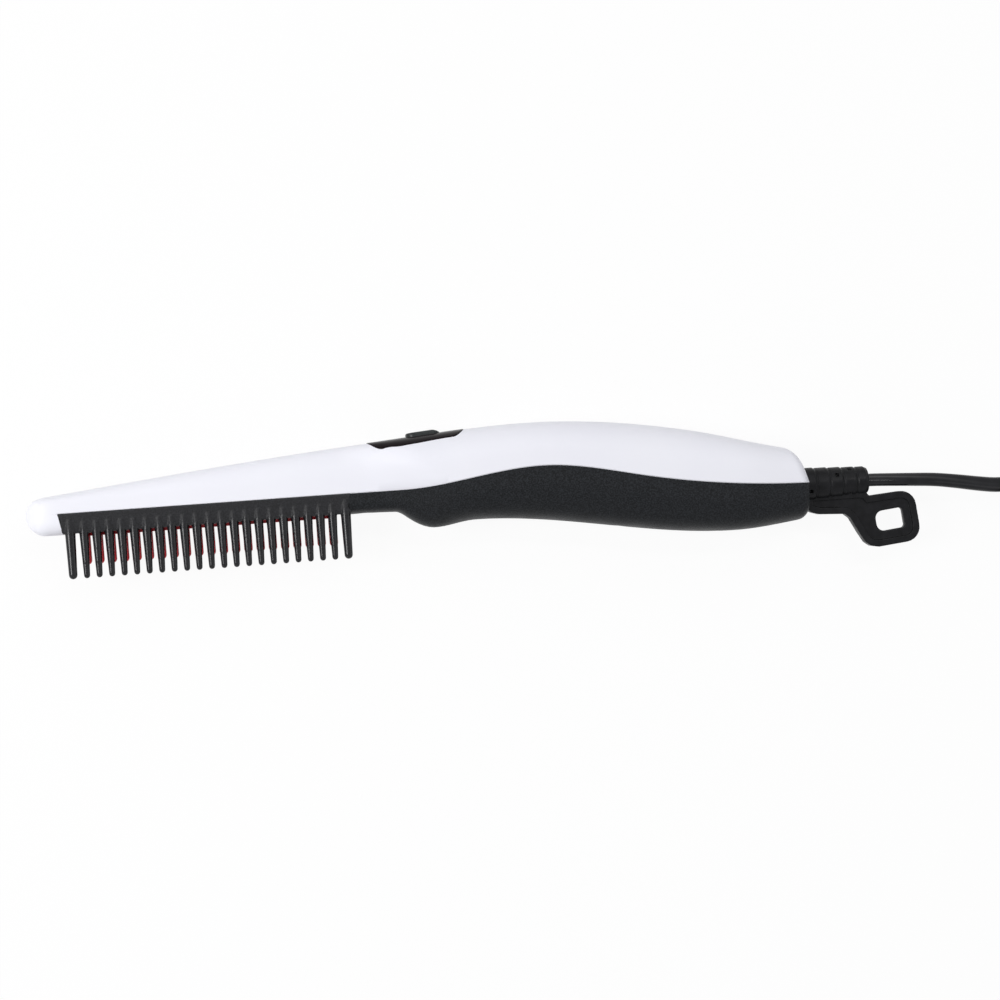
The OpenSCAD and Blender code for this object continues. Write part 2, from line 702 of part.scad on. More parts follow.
board_low = -board_depth - board_thick;
board_middle = -board_depth - board_thick / 2;
board_screw_at = [[board_front + 15, -5.4], [board_rear - 3, 5.4]];
board_thread_d = 2.2;
board_thread = 4;
board_post_d = 4;
// Height in panel coordinates at which a post at x ends inside the shell's wall
function board_post_top(x) =
    min(-panel_depth - bay_floor / 2,
        back(button_x + x) - back(button_x) - x * tan(panel_slope) - 0.8 * wall);
// A point in drawing coordinates from one along and out of the panel
function panel_point(u, v, z) =
    [button_x + u * cos(panel_slope) - v * sin(panel_slope),
        back(button_x) + u * sin(panel_slope) + v * cos(panel_slope), z];

module circuit_board() {
    color([0.1, 0.35, 0.2]) place() on_panel() difference() {
        block(board_front, board_rear, board_low, -board_depth, -board_width / 2, board_width / 2);
        for (at = board_screw_at) translate([at[0], 0, at[1]])
            upright(board_thread_d + 0.2, board_low - past, -board_depth + past);
    }
}

// Screws from below, through the board into the upper shell's posts
module board_screws() {
    color("silver") place() on_panel() for (at = board_screw_at) translate([at[0], board_low, at[1]]) {
        upright(board_thread_d, 0, board_thick + board_thread);
        upright(3.6, -1.3, 0);
    }
}

// Components stand on the board; x is counted from its front
module on_board(x, z) {
    place() on_panel() translate([board_front + x, -board_depth, z]) children();
}

module film_capacitor() {
    color([0.85, 0.6, 0.1]) on_board(19, -2) block(0, 13, 0, 5.2, 0, 6.4);
}

module smoothing_capacitor() {
    color([0.12, 0.14, 0.3]) on_board(34, 0.5) translate([0, 3, 0]) axle(6, 0, 11);
}

module triac() {
    color([0.1, 0.1, 0.1]) on_board(46.5, -6) block(0, 7, 0, 3.2, 0, 5);
}

module control_chip() {
    color([0.12, 0.12, 0.12]) on_board(46.5, 1) block(0, 5, 0, 1.5, 0, 4.2);
}

// ---- leads --------------------------------------------------------------------------

lead_d = 1.5;
sensor_lead_d = 0.9;
lead_gap = 0.3;
lead_sides = 8;
// Middle of the passage between the front screw boss and the head's wall
passage = (boss_d / 2 + head_half - wall) / 2;
board_nose = panel_point(board_front - lead_gap, board_middle, 0);
board_tail = panel_point(board_rear + lead_gap, board_middle, 0);
lead_y = stack_top + lead_d / 2 + 0.45;
boss_front = boss_x[0] - boss_d / 2;
boss_back = boss_x[0] + boss_d / 2;
// A point between a and b, and the offset added to it
function between(a, b, t, offset = [0, 0, 0]) = a + t * (b - a) + offset;

module heater_leads() {
    start = [heater_rear + lead_d, lead_y, 0];
    high = [boss_front - lead_d, lead_y + lead_d, 0];
    low = [boss_back + lead_d, lead_y + lead_d / 2, 0];
    color([0.75, 0.1, 0.1]) place() for (side = [-1, 1]) {
        wide = [0, 0, side * passage];
        swept_tube([start + wide / 3, between(start, high, 0.3, wide / 2),
            between(start, high, 0.7, 0.9 * wide), high + wide, low + wide,
            between(low, board_nose, 0.6, wide), board_nose + wide], lead_d, lead_sides);
    }
}

// The sensor's thin leads pass the heater's leads and the boss above them
module sensor_leads() {
    start = [sensor_x + sensor_length + lead_gap, lead_y, 0];
    fuse_side = [fuse_x, stack_top + fuse_d - sensor_lead_d / 2, fuse_z - fuse_d];
    past_fuse = fuse_side + [fuse_length + fuse_wire, sensor_lead_d, 0];
    high = [boss_front - lead_d, lead_y + 2 * lead_d + 2 * sensor_lead_d, 0];
    low = [boss_back + lead_d, high[1], 0];
    color([0.9, 0.9, 0.85]) place() for (side = [-1, 1]) {
        apart = [0, 0, side * 0.62 * sensor_lead_d];
        wide = [0, 0, side * passage];
        swept_tube([start + apart + [0, 0, sensor_z],
            between(start, fuse_side, 0.5, apart + [0, 0, sensor_z / 2]), fuse_side + apart,
            past_fuse + apart, between(past_fuse, high, 0.55, 0.35 * wide + apart), high + 0.93 * wide,
            low + 0.93 * wide, between(low, board_nose, 0.55, 0.6 * wide), board_nose + 0.4 * wide],
            sensor_lead_d, lead_sides);
    }
}

// The supply's leads run beside the screw bosses from the brush carrier to the board
module supply_leads() {
    start = [carrier_x - lead_gap, swivel_y + carrier_roof, 0];
    wide_z = (boss_d + lead_d) / 2 + 1.6;
    color([0.1, 0.2, 0.6]) place() for (side = [-1, 1]) {
        wide = [0, 0, side * wide_z];
        swept_tube([start + wide / 2, for (t = [0.14, 0.35, 0.58, 0.8]) between(start, board_tail, t, wide),
            board_tail + 0.9 * wide], lead_d, lead_sides);
    }
}

// ---- cord swivel --------------------------------------------------------------------

barrel_end_x = body_length - 24;
pin_d = 4;
core_d = 7;
flange_d = 13;
barrel_flange = 2;
// The upper shell's rear wall leans over the top of the flange
flange_room = max(shell_step, rear_lean * (swivel_y + flange_d / 2 + seam_rear));
flange_x = body_length - rear_wall - flange_room - clearance - barrel_flange;
ring_x = [body_length - 18, body_length - 12];
ring_d = 9.4;
ring_wide = 2.6;

module swivel_barrel() {
    color([0.25, 0.25, 0.27]) place() translate([0, swivel_y, 0]) {
        axle(pin_d, barrel_end_x, ring_x[0] - 2);
        axle(core_d, ring_x[0] - 2, flange_x);
        axle(flange_d, flange_x, flange_x + barrel_flange);
        axle(neck_d, flange_x + barrel_flange, relief_x);
    }
}

module slip_rings() {
    color([0.8, 0.6, 0.25]) place() translate([0, swivel_y, 0]) for (x = ring_x) difference() {
        axle(ring_d, x, x + ring_wide);
        axle(core_d, x - past, x + ring_wide + past);
    }
}

// A cradle on the lower shell's floor, with the bearing of the barrel's end
carrier_x = barrel_end_x - 2;
carrier_post = 5;
carrier_half = 6;
carrier_roof = 6;
carrier_roof_thick = 2;
module brush_carrier() {
    foot = belly(barrel_end_x) + wall - swivel_y + 1.2;
    top = carrier_roof + carrier_roof_thick;
    color([0.85, 0.8, 0.7]) place() translate([0, swivel_y, 0]) difference() {
        union() {
            block(carrier_x, carrier_x + carrier_post, foot, top, -carrier_half, carrier_half);
            block(carrier_x, flange_x - 2, carrier_roof, top, -carrier_half, carrier_half);
        }
        axle(pin_d + 0.2, barrel_end_x, carrier_x + carrier_post + past);
    }
}

// Two leaf springs under the cradle's roof that press on the rings
spring_thick = 0.45;
spring_half = 4;
ring_touch = 0.05;
module brush_springs() {
    leaf = ring_d / 2 + ring_touch;
    color([0.85, 0.65, 0.3]) place() translate([0, swivel_y, 0]) for (x = ring_x) {
        block(x + 0.5, x + ring_wide - 0.5, leaf, leaf + spring_thick, -spring_half, spring_half);
        for (z = [-spring_half, spring_half - spring_thick])
            block(x + 0.5, x + ring_wide - 0.5, leaf, carrier_roof, z, z + spring_thick);
    }
}

rib_pitch = 4.6;
rib_first = 3.5;
rib_groove = 0.9;
rib_height = 0.4;
relief_rear = relief_x + relief_length;
end_chamfer = 0.9;
groove_x = [for (k = [0 : 3]) relief_x + rib_first + k * rib_pitch];
window_length = 1.3;
window_width = 1.2;
window_depth = 2.4;
hole_front_round = 2.6;
hole_rear_round = 1.2;
hole_shift = [-0.9, -0.3];

// The ring, about its middle
function ring_plan() = round_box(loop_length, loop_height, ring_round, loop_tilt);
function hole_plan() = round_box(hole_length, hole_height,
    [hole_rear_round, hole_front_round, hole_front_round, hole_rear_round], loop_tilt);
// The web between relief and ring, from the relief's front end on its axis, anticlockwise
WEB = [[21.5, -5.3], [20.6, -4.2], [18, -3.5], [0, -3.5], [0.1, -8], [1.7, -9.3], [4.3, -10.1],
    [12.9, -10.6], [14.7, -12.1], [17.6, -17.6], [19.3, -20.4], [21.1, -21.8], [23.8, -22.3]];
corner_points = 7;
loop_line = concat(
    [for (i = [0 : corner_points - 1]) ring_plan()[i] + [loop_x, loop_y]],
    [for (p = WEB) p + [relief_x, swivel_y]],
    [for (i = [3 * corner_points : 4 * corner_points - 1]) ring_plan()[i] + [loop_x, loop_y]]);

module strain_relief() {
    ribs = concat([relief_x - rib_groove / 2], groove_x, [relief_rear - end_chamfer + rib_groove / 2]);
    color([0.12, 0.12, 0.12]) place() difference() {
        union() {
            translate([0, swivel_y, 0]) {
                axle(relief_end_d, relief_x, relief_rear, relief_d);
                for (k = [1 : len(ribs) - 1]) axle(relief_width(ribs[k]) + 2 * rib_height,
                    ribs[k - 1] + rib_groove / 2, ribs[k] - rib_groove / 2);
                axle(relief_end_d - end_chamfer, relief_rear - end_chamfer, relief_rear,
                    relief_width(relief_rear) + 2 * rib_height);
            }
            translate([0, 0, -loop_thick / 2]) linear_extrude(loop_thick) polygon(loop_line);
        }
        translate([0, 0, -loop_thick]) linear_extrude(2 * loop_thick)
            translate([loop_x, loop_y] + hole_shift) polygon(hole_plan());
        // Both faces are recessed inside the raised rim
        for (side = [0, 1]) mirror([0, 0, side]) translate([0, 0, web_thick / 2])
            linear_extrude(loop_thick) difference() {
                polygon(grown(loop_line, -rim_width));
                translate([relief_x - past, swivel_y - relief_d / 2 - rib_height])
                    square([relief_length + past, relief_d]);
            }
        // Small windows that let the relief bend, in pairs that turn from rib to rib
        for (k = [0 : 3], side = [-1, 1])
            translate([groove_x[k] - rib_pitch / 2, swivel_y, 0]) rotate([90 * k, 0, 0])
                block(-window_length / 2, window_length / 2,
                    -window_depth - window_width / 2, window_width / 2 - window_depth,
                    side > 0 ? 3 : -relief_d, side > 0 ? relief_d : -3);
    }
}
function relief_width(x) = relief_d + (relief_end_d - relief_d) * (x - relief_x) / relief_length;

// ---- fasteners ----------------------------------------------------------------------

module shell_screws() {
    color("silver") place() for (x = boss_x) translate([x, 0, 0]) {
        upright(screw_head_d, head_seat(x) - screw_head, head_seat(x));
        upright(thread_d, head_seat(x), seam(x) + thread_reach);
    }
}

// ---- cord, in floor coordinates -------------------------------------------------------

cord_width = 5.2;
turn_width = cord_width + 0.2;
hank_left = 208;
hank_run = 104;
hank_y = -21.3;
hank_inner = 15.8;
hank_outer = 21.2;
hank_base = 0.8;
hank_top = 10.8;
tie_x = hank_left + 6;
tie_width = 12;
tie_thick = 0.8;

CORD_ROUTE = [[128.8, -2.4, 13.5], [132, -2.5, 13.5], [138, -2.85, 13.5], [145, -3.3, 12.9],
    [153, -3.9, 11.7], [161, -4.8, 9.9], [169, -5.9, 7.8], [176, -6.6, 5.8], [182, -6.5, 4.4],
    [188, -5.4, 3.5], [194, -3.7, 3], [200, -1.9, 2.8], [205, -0.7, 2.7], [210, -0.1, 2.7]];
TAIL_ROUTE = [[228, -5.7, 9], [234, -6.6, 9.3], [241, -9.2, 10.6], [248, -12.5, 12.7],
    [254, -15.8, 15], [260, -18.9, 17], [266, -20.9, 17.9], [271, -21.3, 18], [273, -21.3, 18]];

module power_cord() {
    color([0.08, 0.08, 0.08]) swept_tube(CORD_ROUTE, cord_width, 10);
}

module cord_tail() {
    color([0.08, 0.08, 0.08]) swept_tube(TAIL_ROUTE, cord_width, 10);
}

module stadium(r) {
    for (x = [0, hank_run]) translate([hank_left + x, hank_y]) circle(r);
    translate([hank_left, hank_y - r]) square([hank_run, 2 * r]);
}
// The outer shape of the wound cord: a long ring with round ends
module cord_hank() {
    color([0.08, 0.08, 0.08]) translate([0, 0, hank_base]) linear_extrude(hank_top - hank_base)
        difference() {
            stadium(hank_outer + turn_width / 2);
            stadium(hank_inner - turn_width / 2);
        }
}

module cord_tie() {
    r = hank_outer + turn_width / 2;
    color([0.1, 0.1, 0.1]) difference() {
        block(tie_x, tie_x + tie_width, hank_y - r - tie_thick, hank_y + r + tie_thick,
            hank_base - tie_thick, hank_top + tie_thick);
        block(tie_x - past, tie_x + tie_width + past, hank_y - r, hank_y + r, hank_base, hank_top);
    }
}

plug_at = TAIL_ROUTE[len(TAIL_ROUTE) - 1];
plug_neck = 12;
plug_length = 44;
plug_thick = 13.8;
pin_spacing = 18.6;
pin_diameter = 4;
pin_length = 18;

module plug_body() {
    color([0.08, 0.08, 0.08]) translate(plug_at) {
        axle(9, 0, plug_neck, 7);
        translate([0, 0, -plug_thick / 2]) linear_extrude(plug_thick)
            polygon([for (side = [[0, 1, 2, 3, 4], [4, 3, 2, 1, 0]], k = side)
                let (p = [[12, 6], [18, 11], [32, 13], [40, 17.6], [plug_length, 17.6]][k])
                [p[0], side[0] == 0 ? p[1] : -p[1]]]);
    }
}

module plug_pins() {
    color("silver") translate(plug_at + [plug_length, 0, 0]) for (s = [-1, 1])
        translate([0, s * pin_spacing / 2, 0]) {
            axle(pin_diameter, 0, pin_length);
            translate([pin_length, 0, 0]) intersection() {
                sphere(d = pin_diameter);
                axle(pin_diameter, 0, pin_diameter);
            }
        }
}

upper_shell();
lower_shell();
comb_guard();
switch_panel();
power_button();
switch_plunger();
tact_switch();
circuit_board();
film_capacitor();
smoothing_capacitor();
triac();
control_chip();
heating_comb();
ceramic_heater();
mica_sheet();
heater_clamp();
clamp_screws();
temperature_sensor();
thermal_fuse();
heater_leads();
sensor_leads();
supply_leads();
brush_carrier();
brush_springs();
swivel_barrel();
slip_rings();
strain_relief();
shell_screws();
board_screws();
power_cord();
cord_hank();
cord_tail();
cord_tie();
plug_body();
plug_pins();
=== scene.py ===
"""Looks of the electric hot comb: meshes, materials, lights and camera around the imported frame.

Lengths are millimetres in the drawing frame until at() puts them into the part's frame in metres.
Drawing frame: x from the nose tip to the cord, y up from the head's seam, z across from the middle.
"""
import json
import math

import bmesh
import bpy
from mathutils import Matrix, Vector
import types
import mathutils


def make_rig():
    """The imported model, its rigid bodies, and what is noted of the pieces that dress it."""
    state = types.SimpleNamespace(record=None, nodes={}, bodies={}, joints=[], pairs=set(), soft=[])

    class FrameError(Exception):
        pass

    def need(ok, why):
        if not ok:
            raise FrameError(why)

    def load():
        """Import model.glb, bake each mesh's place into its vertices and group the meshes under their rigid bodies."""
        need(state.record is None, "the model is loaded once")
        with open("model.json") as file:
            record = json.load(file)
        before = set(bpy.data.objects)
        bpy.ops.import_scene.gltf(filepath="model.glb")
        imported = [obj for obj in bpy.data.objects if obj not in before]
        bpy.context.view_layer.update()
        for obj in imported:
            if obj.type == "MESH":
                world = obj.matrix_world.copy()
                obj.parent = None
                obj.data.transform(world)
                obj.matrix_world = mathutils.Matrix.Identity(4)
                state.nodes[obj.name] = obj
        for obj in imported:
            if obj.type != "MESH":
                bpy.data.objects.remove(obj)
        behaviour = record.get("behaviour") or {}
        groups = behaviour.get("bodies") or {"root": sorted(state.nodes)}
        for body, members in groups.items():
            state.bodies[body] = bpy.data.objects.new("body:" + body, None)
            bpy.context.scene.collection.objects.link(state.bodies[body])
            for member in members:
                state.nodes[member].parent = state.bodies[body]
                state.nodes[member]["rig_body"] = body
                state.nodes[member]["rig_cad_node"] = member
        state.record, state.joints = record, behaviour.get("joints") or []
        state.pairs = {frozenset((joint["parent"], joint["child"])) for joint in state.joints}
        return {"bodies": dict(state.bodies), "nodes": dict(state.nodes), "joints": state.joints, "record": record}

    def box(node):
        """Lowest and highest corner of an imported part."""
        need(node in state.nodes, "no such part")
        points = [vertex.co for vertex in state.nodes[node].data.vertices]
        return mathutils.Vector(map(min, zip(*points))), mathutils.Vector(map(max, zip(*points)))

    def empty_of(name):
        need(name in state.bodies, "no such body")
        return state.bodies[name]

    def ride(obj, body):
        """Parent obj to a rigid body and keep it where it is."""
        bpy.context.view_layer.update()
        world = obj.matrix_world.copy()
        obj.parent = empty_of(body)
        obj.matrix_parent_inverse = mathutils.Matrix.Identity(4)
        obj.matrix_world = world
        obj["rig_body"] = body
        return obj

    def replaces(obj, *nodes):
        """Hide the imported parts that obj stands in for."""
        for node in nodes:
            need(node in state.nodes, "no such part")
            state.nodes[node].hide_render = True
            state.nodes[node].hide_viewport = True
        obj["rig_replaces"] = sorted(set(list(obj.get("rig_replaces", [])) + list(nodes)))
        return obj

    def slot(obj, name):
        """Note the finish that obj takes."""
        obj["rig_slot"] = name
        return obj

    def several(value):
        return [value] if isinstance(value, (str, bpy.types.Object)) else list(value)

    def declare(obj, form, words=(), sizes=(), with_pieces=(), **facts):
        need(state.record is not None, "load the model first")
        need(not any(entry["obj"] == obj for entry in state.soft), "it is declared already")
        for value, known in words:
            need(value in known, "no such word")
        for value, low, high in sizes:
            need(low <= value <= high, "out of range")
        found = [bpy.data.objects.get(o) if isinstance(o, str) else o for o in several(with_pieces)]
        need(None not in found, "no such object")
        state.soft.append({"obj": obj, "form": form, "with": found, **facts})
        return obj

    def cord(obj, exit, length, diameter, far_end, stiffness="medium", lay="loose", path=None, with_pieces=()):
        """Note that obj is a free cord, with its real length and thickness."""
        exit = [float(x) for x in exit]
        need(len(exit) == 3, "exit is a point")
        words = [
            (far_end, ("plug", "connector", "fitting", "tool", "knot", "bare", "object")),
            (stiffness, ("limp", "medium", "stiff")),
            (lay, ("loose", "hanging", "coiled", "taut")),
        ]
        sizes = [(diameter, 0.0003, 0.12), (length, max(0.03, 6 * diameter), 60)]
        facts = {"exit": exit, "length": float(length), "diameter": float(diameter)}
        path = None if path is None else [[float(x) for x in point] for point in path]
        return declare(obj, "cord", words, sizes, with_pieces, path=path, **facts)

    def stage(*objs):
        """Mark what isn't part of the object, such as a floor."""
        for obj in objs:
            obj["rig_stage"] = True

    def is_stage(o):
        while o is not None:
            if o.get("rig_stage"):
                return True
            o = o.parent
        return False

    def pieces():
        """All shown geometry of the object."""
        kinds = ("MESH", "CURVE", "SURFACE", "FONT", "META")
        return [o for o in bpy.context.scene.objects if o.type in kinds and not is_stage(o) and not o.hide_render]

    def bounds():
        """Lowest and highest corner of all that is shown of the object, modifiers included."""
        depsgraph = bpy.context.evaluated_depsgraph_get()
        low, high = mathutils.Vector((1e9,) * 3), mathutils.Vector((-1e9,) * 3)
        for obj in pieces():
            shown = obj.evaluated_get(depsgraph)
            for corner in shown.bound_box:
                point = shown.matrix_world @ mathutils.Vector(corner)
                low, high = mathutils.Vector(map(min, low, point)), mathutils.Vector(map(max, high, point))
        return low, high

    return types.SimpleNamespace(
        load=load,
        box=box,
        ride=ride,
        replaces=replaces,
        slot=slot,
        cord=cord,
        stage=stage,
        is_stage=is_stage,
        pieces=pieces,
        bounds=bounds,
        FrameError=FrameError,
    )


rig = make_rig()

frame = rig.load()
cad_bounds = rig.bounds()

MM = 0.001

# ---- sizes of the housing ------------------------------------------------------------
BODY_LENGTH = 252.6
HEAD_LENGTH = 103.0
HEAD_HALF = 7.4
HANDLE_HALF = 13.5
WALL = 1.8
SIDE_BAND = 3.0
BAND_SHARE = 0.42
SECTION_POWER = 2.6
CHIN_POWER = 3.2
HEAD_DEPTH = 7.0
NOSE_ROUND = 6.4
REAR_ROUND = 3.0
REAR_WALL = 2.7
REAR_BLEND = 9.0
SHELL_STEP = 0.6
GUARD_LAP = 0.5
COMB_FRONT = 10.7
FRONT_SLANT = 1.2
SEAM_HEAD = -0.3
SEAM_GROOVE = 0.28
BEND_X = HEAD_LENGTH + 15.4
BEND_FROM, BEND_TO = BEND_X - 1.2, BEND_X + 3.2
LUMP_X = HEAD_LENGTH + 27
CROWN_X = HEAD_LENGTH + 56
BELLY_X = BODY_LENGTH - 23.6
WAVE_X = CROWN_X + 5.5
WAVE_SHARE = 0.386
WAVE_END = WAVE_X + WAVE_SHARE * (BODY_LENGTH - WAVE_X)
# Curves of the outline, as stations of x, height and slope
BACK = [(5, 5.2, 0.108), (HEAD_LENGTH + 6, 15.4, 0.072), (CROWN_X, 18.65, 0.012),
        (CROWN_X + 40, 15.6, -0.155), (BODY_LENGTH, 4.1, -0.235)]
SEAM = [(HEAD_LENGTH, SEAM_HEAD, 0), (HEAD_LENGTH + 17, SEAM_HEAD, 0), (WAVE_X, 4.3, 0),
        (WAVE_END, -1.3, -0.21), (BODY_LENGTH, -7.3, -0.02)]
BELLY = [(HEAD_LENGTH, -HEAD_DEPTH, 0.02), (BEND_FROM, -HEAD_DEPTH - 0.25, -0.05),
         (BEND_X + 2.2, -HEAD_DEPTH - 1.88, -0.8), (LUMP_X, -13.2, 0), (LUMP_X + 13, -11.6, 0),
         (BELLY_X, -21.3, 0), (BODY_LENGTH, -19.1, 0.12)]
FLARE_X = HEAD_LENGTH + 9
FLARE_LENGTH = 24
FLARE_LEAN = 0.9
REAR_TAPER = 1.2
REAR_TAPER_LENGTH = 22
NOSE_BLUNT = 0.35
NOSE_PLAN_LENGTH = 9
REAR_LEAN = 0.3
LEAN_LENGTH = 40

# ---- sizes of the switch panel, the swivel and the screws ----------------------------
PANEL_X = HEAD_LENGTH + 6.5
PANEL_LENGTH = 31.8
PANEL_FRONT_HALF = 8.2
PANEL_REAR_HALF = 9.0
PANEL_BULGE = 1.0
PANEL_NOSE = 5.5
PANEL_TAIL = 4.6
PANEL_DEPTH = 3.6
PANEL_PROUD = 0.2
PANEL_RIM = 0.25
PANEL_GAP = 0.1
BUTTON_X = PANEL_X + 18.5
BUTTON_LENGTH = 11.2
BUTTON_WIDTH = 7.6
BUTTON_CORNER = 2.6
BUTTON_RISE = 1.4
BUTTON_RIM = 0.6
BUTTON_TAIL = 2.6
TAIL_RISE = 0.4
TAIL_POWER = 1.5
BUTTON_CROWN = 0.12
CROWN_STEPS = (0.2, 0.4, 0.6, 0.8, 0.93)
BUTTON_FLANGE = 1.2
FLANGE_THICK = 1.0
FLANGE_GAP = 0.02
STEM_RADIUS = 2.0
STEM_END = -6.2
# The hole under the panel for the button's flange: its margin round the button and its corner
WINDOW_MARGIN = 1.6
WINDOW_CORNER = 2.6
CLEARANCE = 0.3
# How far cutting tools reach past what they cut, and up to where the panel's seat is cut
OVERSHOOT = 1
TOOL_REACH = 3
PANEL_SEAT_TOP = 8
SWIVEL_Y = -8.0
NECK_HOLE_RADIUS = 4.8
BOSS_X = [HEAD_LENGTH + 4.5, BUTTON_X + 62.5, BODY_LENGTH - 31]
SCREW_HEAD_RADIUS = 2.3
HEAD_SEAT = 2.6

# ---- the drawing's place in the frame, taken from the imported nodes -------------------
BAR_TOP = 2.0
shell_low, shell_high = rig.box("upper_shell")
NOSE_TIP = shell_low[0] / MM
SEAM_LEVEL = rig.box("heating_comb")[1][1] / MM + BAR_TOP
MIDDLE = (shell_low[2] + shell_high[2]) / 2 / MM


def at(x, y, z):
    """A drawing point in the part's frame, in metres."""
    return Vector((x + NOSE_TIP, y + SEAM_LEVEL, z + MIDDLE)) * MM


# ---- camera, as the photograph was taken ---------------------------------------------
FOCAL_PIXELS = 1989
PICTURE_PIXELS = 1000
SENSOR = 36
CAMERA_HEIGHT = 645
CAMERA_FOOT = (81.8, -0.8)
AIM = (151.7, -5.85)
PICTURE_ROLL = math.radians(4.129)
NEAR, FAR = 0.05, 20


def add_camera():
    data = bpy.data.cameras.new("camera")
    data.sensor_width = SENSOR
    data.lens = SENSOR * FOCAL_PIXELS / PICTURE_PIXELS
    data.clip_start, data.clip_end = NEAR, FAR
    eye = at(*CAMERA_FOOT, CAMERA_HEIGHT)
    back = (eye - at(*AIM, 0)).normalized()
    right = (Vector((1, 0, 0)) - back * back.x).normalized()
    up = back.cross(right)
    c, s = math.cos(PICTURE_ROLL), math.sin(PICTURE_ROLL)
    right, up = right * c - up * s, right * s + up * c
    camera = bpy.data.objects.new("camera", data)
    camera.matrix_world = Matrix((
        (right.x, up.x, back.x, eye.x), (right.y, up.y, back.y, eye.y),
        (right.z, up.z, back.z, eye.z), (0, 0, 0, 1)))
    bpy.context.scene.collection.objects.link(camera)
    bpy.context.scene.camera = camera


# ---- materials -----------------------------------------------------------------------
PLASTIC_IOR = 1.5


class Surface:
    """A node material under construction, with object coordinates in millimetres."""

    def __init__(self, name, colour, roughness, metallic=0.0, specular=0.5):
        self.material = bpy.data.materials.new(name)
        self.material.use_nodes = True
        self.nodes = self.material.node_tree.nodes
        self.links = self.material.node_tree.links
        self.shader = self.nodes["Principled BSDF"]
        for socket, value in (("Base Color", (*colour, 1)), ("Roughness", roughness),
                              ("Metallic", metallic), ("IOR", PLASTIC_IOR),
                              ("Specular IOR Level", specular)):
            self.shader.inputs[socket].default_value = value
        self.colour = colour
        coordinates = self.nodes.new("ShaderNodeTexCoord")
        scaled = self.nodes.new("ShaderNodeVectorMath")
        scaled.operation = "SCALE"
        scaled.inputs["Scale"].default_value = 1 / MM
        self.links.new(coordinates.outputs["Object"], scaled.inputs[0])
        self.position = scaled.outputs[0]

    def stretched(self, x, y, z):
        mapping = self.nodes.new("ShaderNodeMapping")
        mapping.inputs["Scale"].default_value = (x, y, z)
        self.links.new(self.position, mapping.inputs["Vector"])
        return mapping.outputs[0]

    def noise(self, size, detail=2.0, position=None):
        node = self.nodes.new("ShaderNodeTexNoise")
        node.inputs["Scale"].default_value = 1 / size
        node.inputs["Detail"].default_value = detail
        self.links.new(position or self.position, node.inputs["Vector"])
        return node.outputs["Fac"]

    def wave(self, size, direction):
        node = self.nodes.new("ShaderNodeTexWave")
        node.bands_direction = direction
        # One band of the wave texture is 2 pi / 20 of its unit long
        node.inputs["Scale"].default_value = math.pi / (10 * size)
        self.links.new(self.position, node.inputs["Vector"])
        return node.outputs["Fac"]

    def ramp(self, value, low, high, start, end):
        node = self.nodes.new("ShaderNodeMapRange")
        node.inputs["From Min"].default_value = start
        node.inputs["From Max"].default_value = end
        node.inputs["To Min"].default_value = low
        node.inputs["To Max"].default_value = high
        self.links.new(value, node.inputs["Value"])
        return node.outputs["Result"]

    def axis(self, name):
        node = self.nodes.new("ShaderNodeSeparateXYZ")
        self.links.new(self.position, node.inputs[0])
        return node.outputs[name]

    def product(self, a, b):
        node = self.nodes.new("ShaderNodeMath")
        node.operation = "MULTIPLY"
        self.links.new(a, node.inputs[0])
        self.links.new(b, node.inputs[1])
        return node.outputs[0]

    def vary_colour(self, value, other, start=0.35, end=0.65):
        node = self.nodes.new("ShaderNodeMix")
        node.data_type = "RGBA"
        node.inputs["A"].default_value = (*self.colour, 1)
        node.inputs["B"].default_value = (*other, 1)
        self.links.new(self.ramp(value, 0, 1, start, end), node.inputs["Factor"])
        self.links.new(node.outputs["Result"], self.shader.inputs["Base Color"])
        return self

    def vary_roughness(self, value, low, high, start=0.3, end=0.7):
        self.links.new(self.ramp(value, low, high, start, end), self.shader.inputs["Roughness"])
        return self

    def bump(self, value, depth, strength=None):
        node = self.nodes.new("ShaderNodeBump")
        node.inputs["Distance"].default_value = depth * MM
        node.inputs["Strength"].default_value = 1.0
        if strength:
            self.links.new(strength, node.inputs["Strength"])
        self.links.new(value, node.inputs["Height"])
        self.links.new(node.outputs["Normal"], self.shader.inputs["Normal"])
        return self


def glossy_white():
    surface = Surface("glossy_white", (0.87, 0.87, 0.93), 0.42, specular=0.08)
    surface.vary_colour(surface.noise(26, 3), (0.885, 0.885, 0.94))
    surface.vary_roughness(surface.noise(7, 4), 0.34, 0.42)
    return surface.bump(surface.noise(1.6, 2), 0.006).material


# Grain of the spark-eroded plastics: its size, and how much lighter its raised dots are painted, a painted glint on
# the grain's peaks
GRAIN = 0.4
GRAIN_GLINT = 4


def grained_with_glint(name, colour, roughness, specular):
    surface = Surface(name, colour, roughness, specular=specular)
    # The raised dots are painted lighter: a painted glint where the grain's peaks, which the bump raises, catch the
    # light
    glinting_dots = tuple(c * GRAIN_GLINT for c in colour)
    return surface.vary_colour(surface.noise(GRAIN, 3), glinting_dots, 0.42, 0.62)


def moulded_black():
    """Spark-eroded plastic: fine pits under a soft shine."""
    surface = grained_with_glint("moulded_black", (0.005, 0.0055, 0.0062), 0.44, 0.12)
    surface.vary_roughness(surface.noise(9, 3), 0.38, 0.5)
    return surface.bump(surface.noise(GRAIN, 3), 0.1).material


def comb_black():
    """Textured on the wall, smooth and shiny on the teeth below it."""
    surface = grained_with_glint("comb_black", (0.004, 0.004, 0.0046), 0.3, 0.25)
    wall_foot = SEAM_LEVEL - HEAD_DEPTH
    on_wall = surface.ramp(surface.axis("Y"), 0, 1, wall_foot - 0.5, wall_foot + 2.5)
    surface.vary_roughness(on_wall, 0.12, 0.46, 0, 1)
    return surface.bump(surface.noise(GRAIN, 3), 0.09, on_wall).material


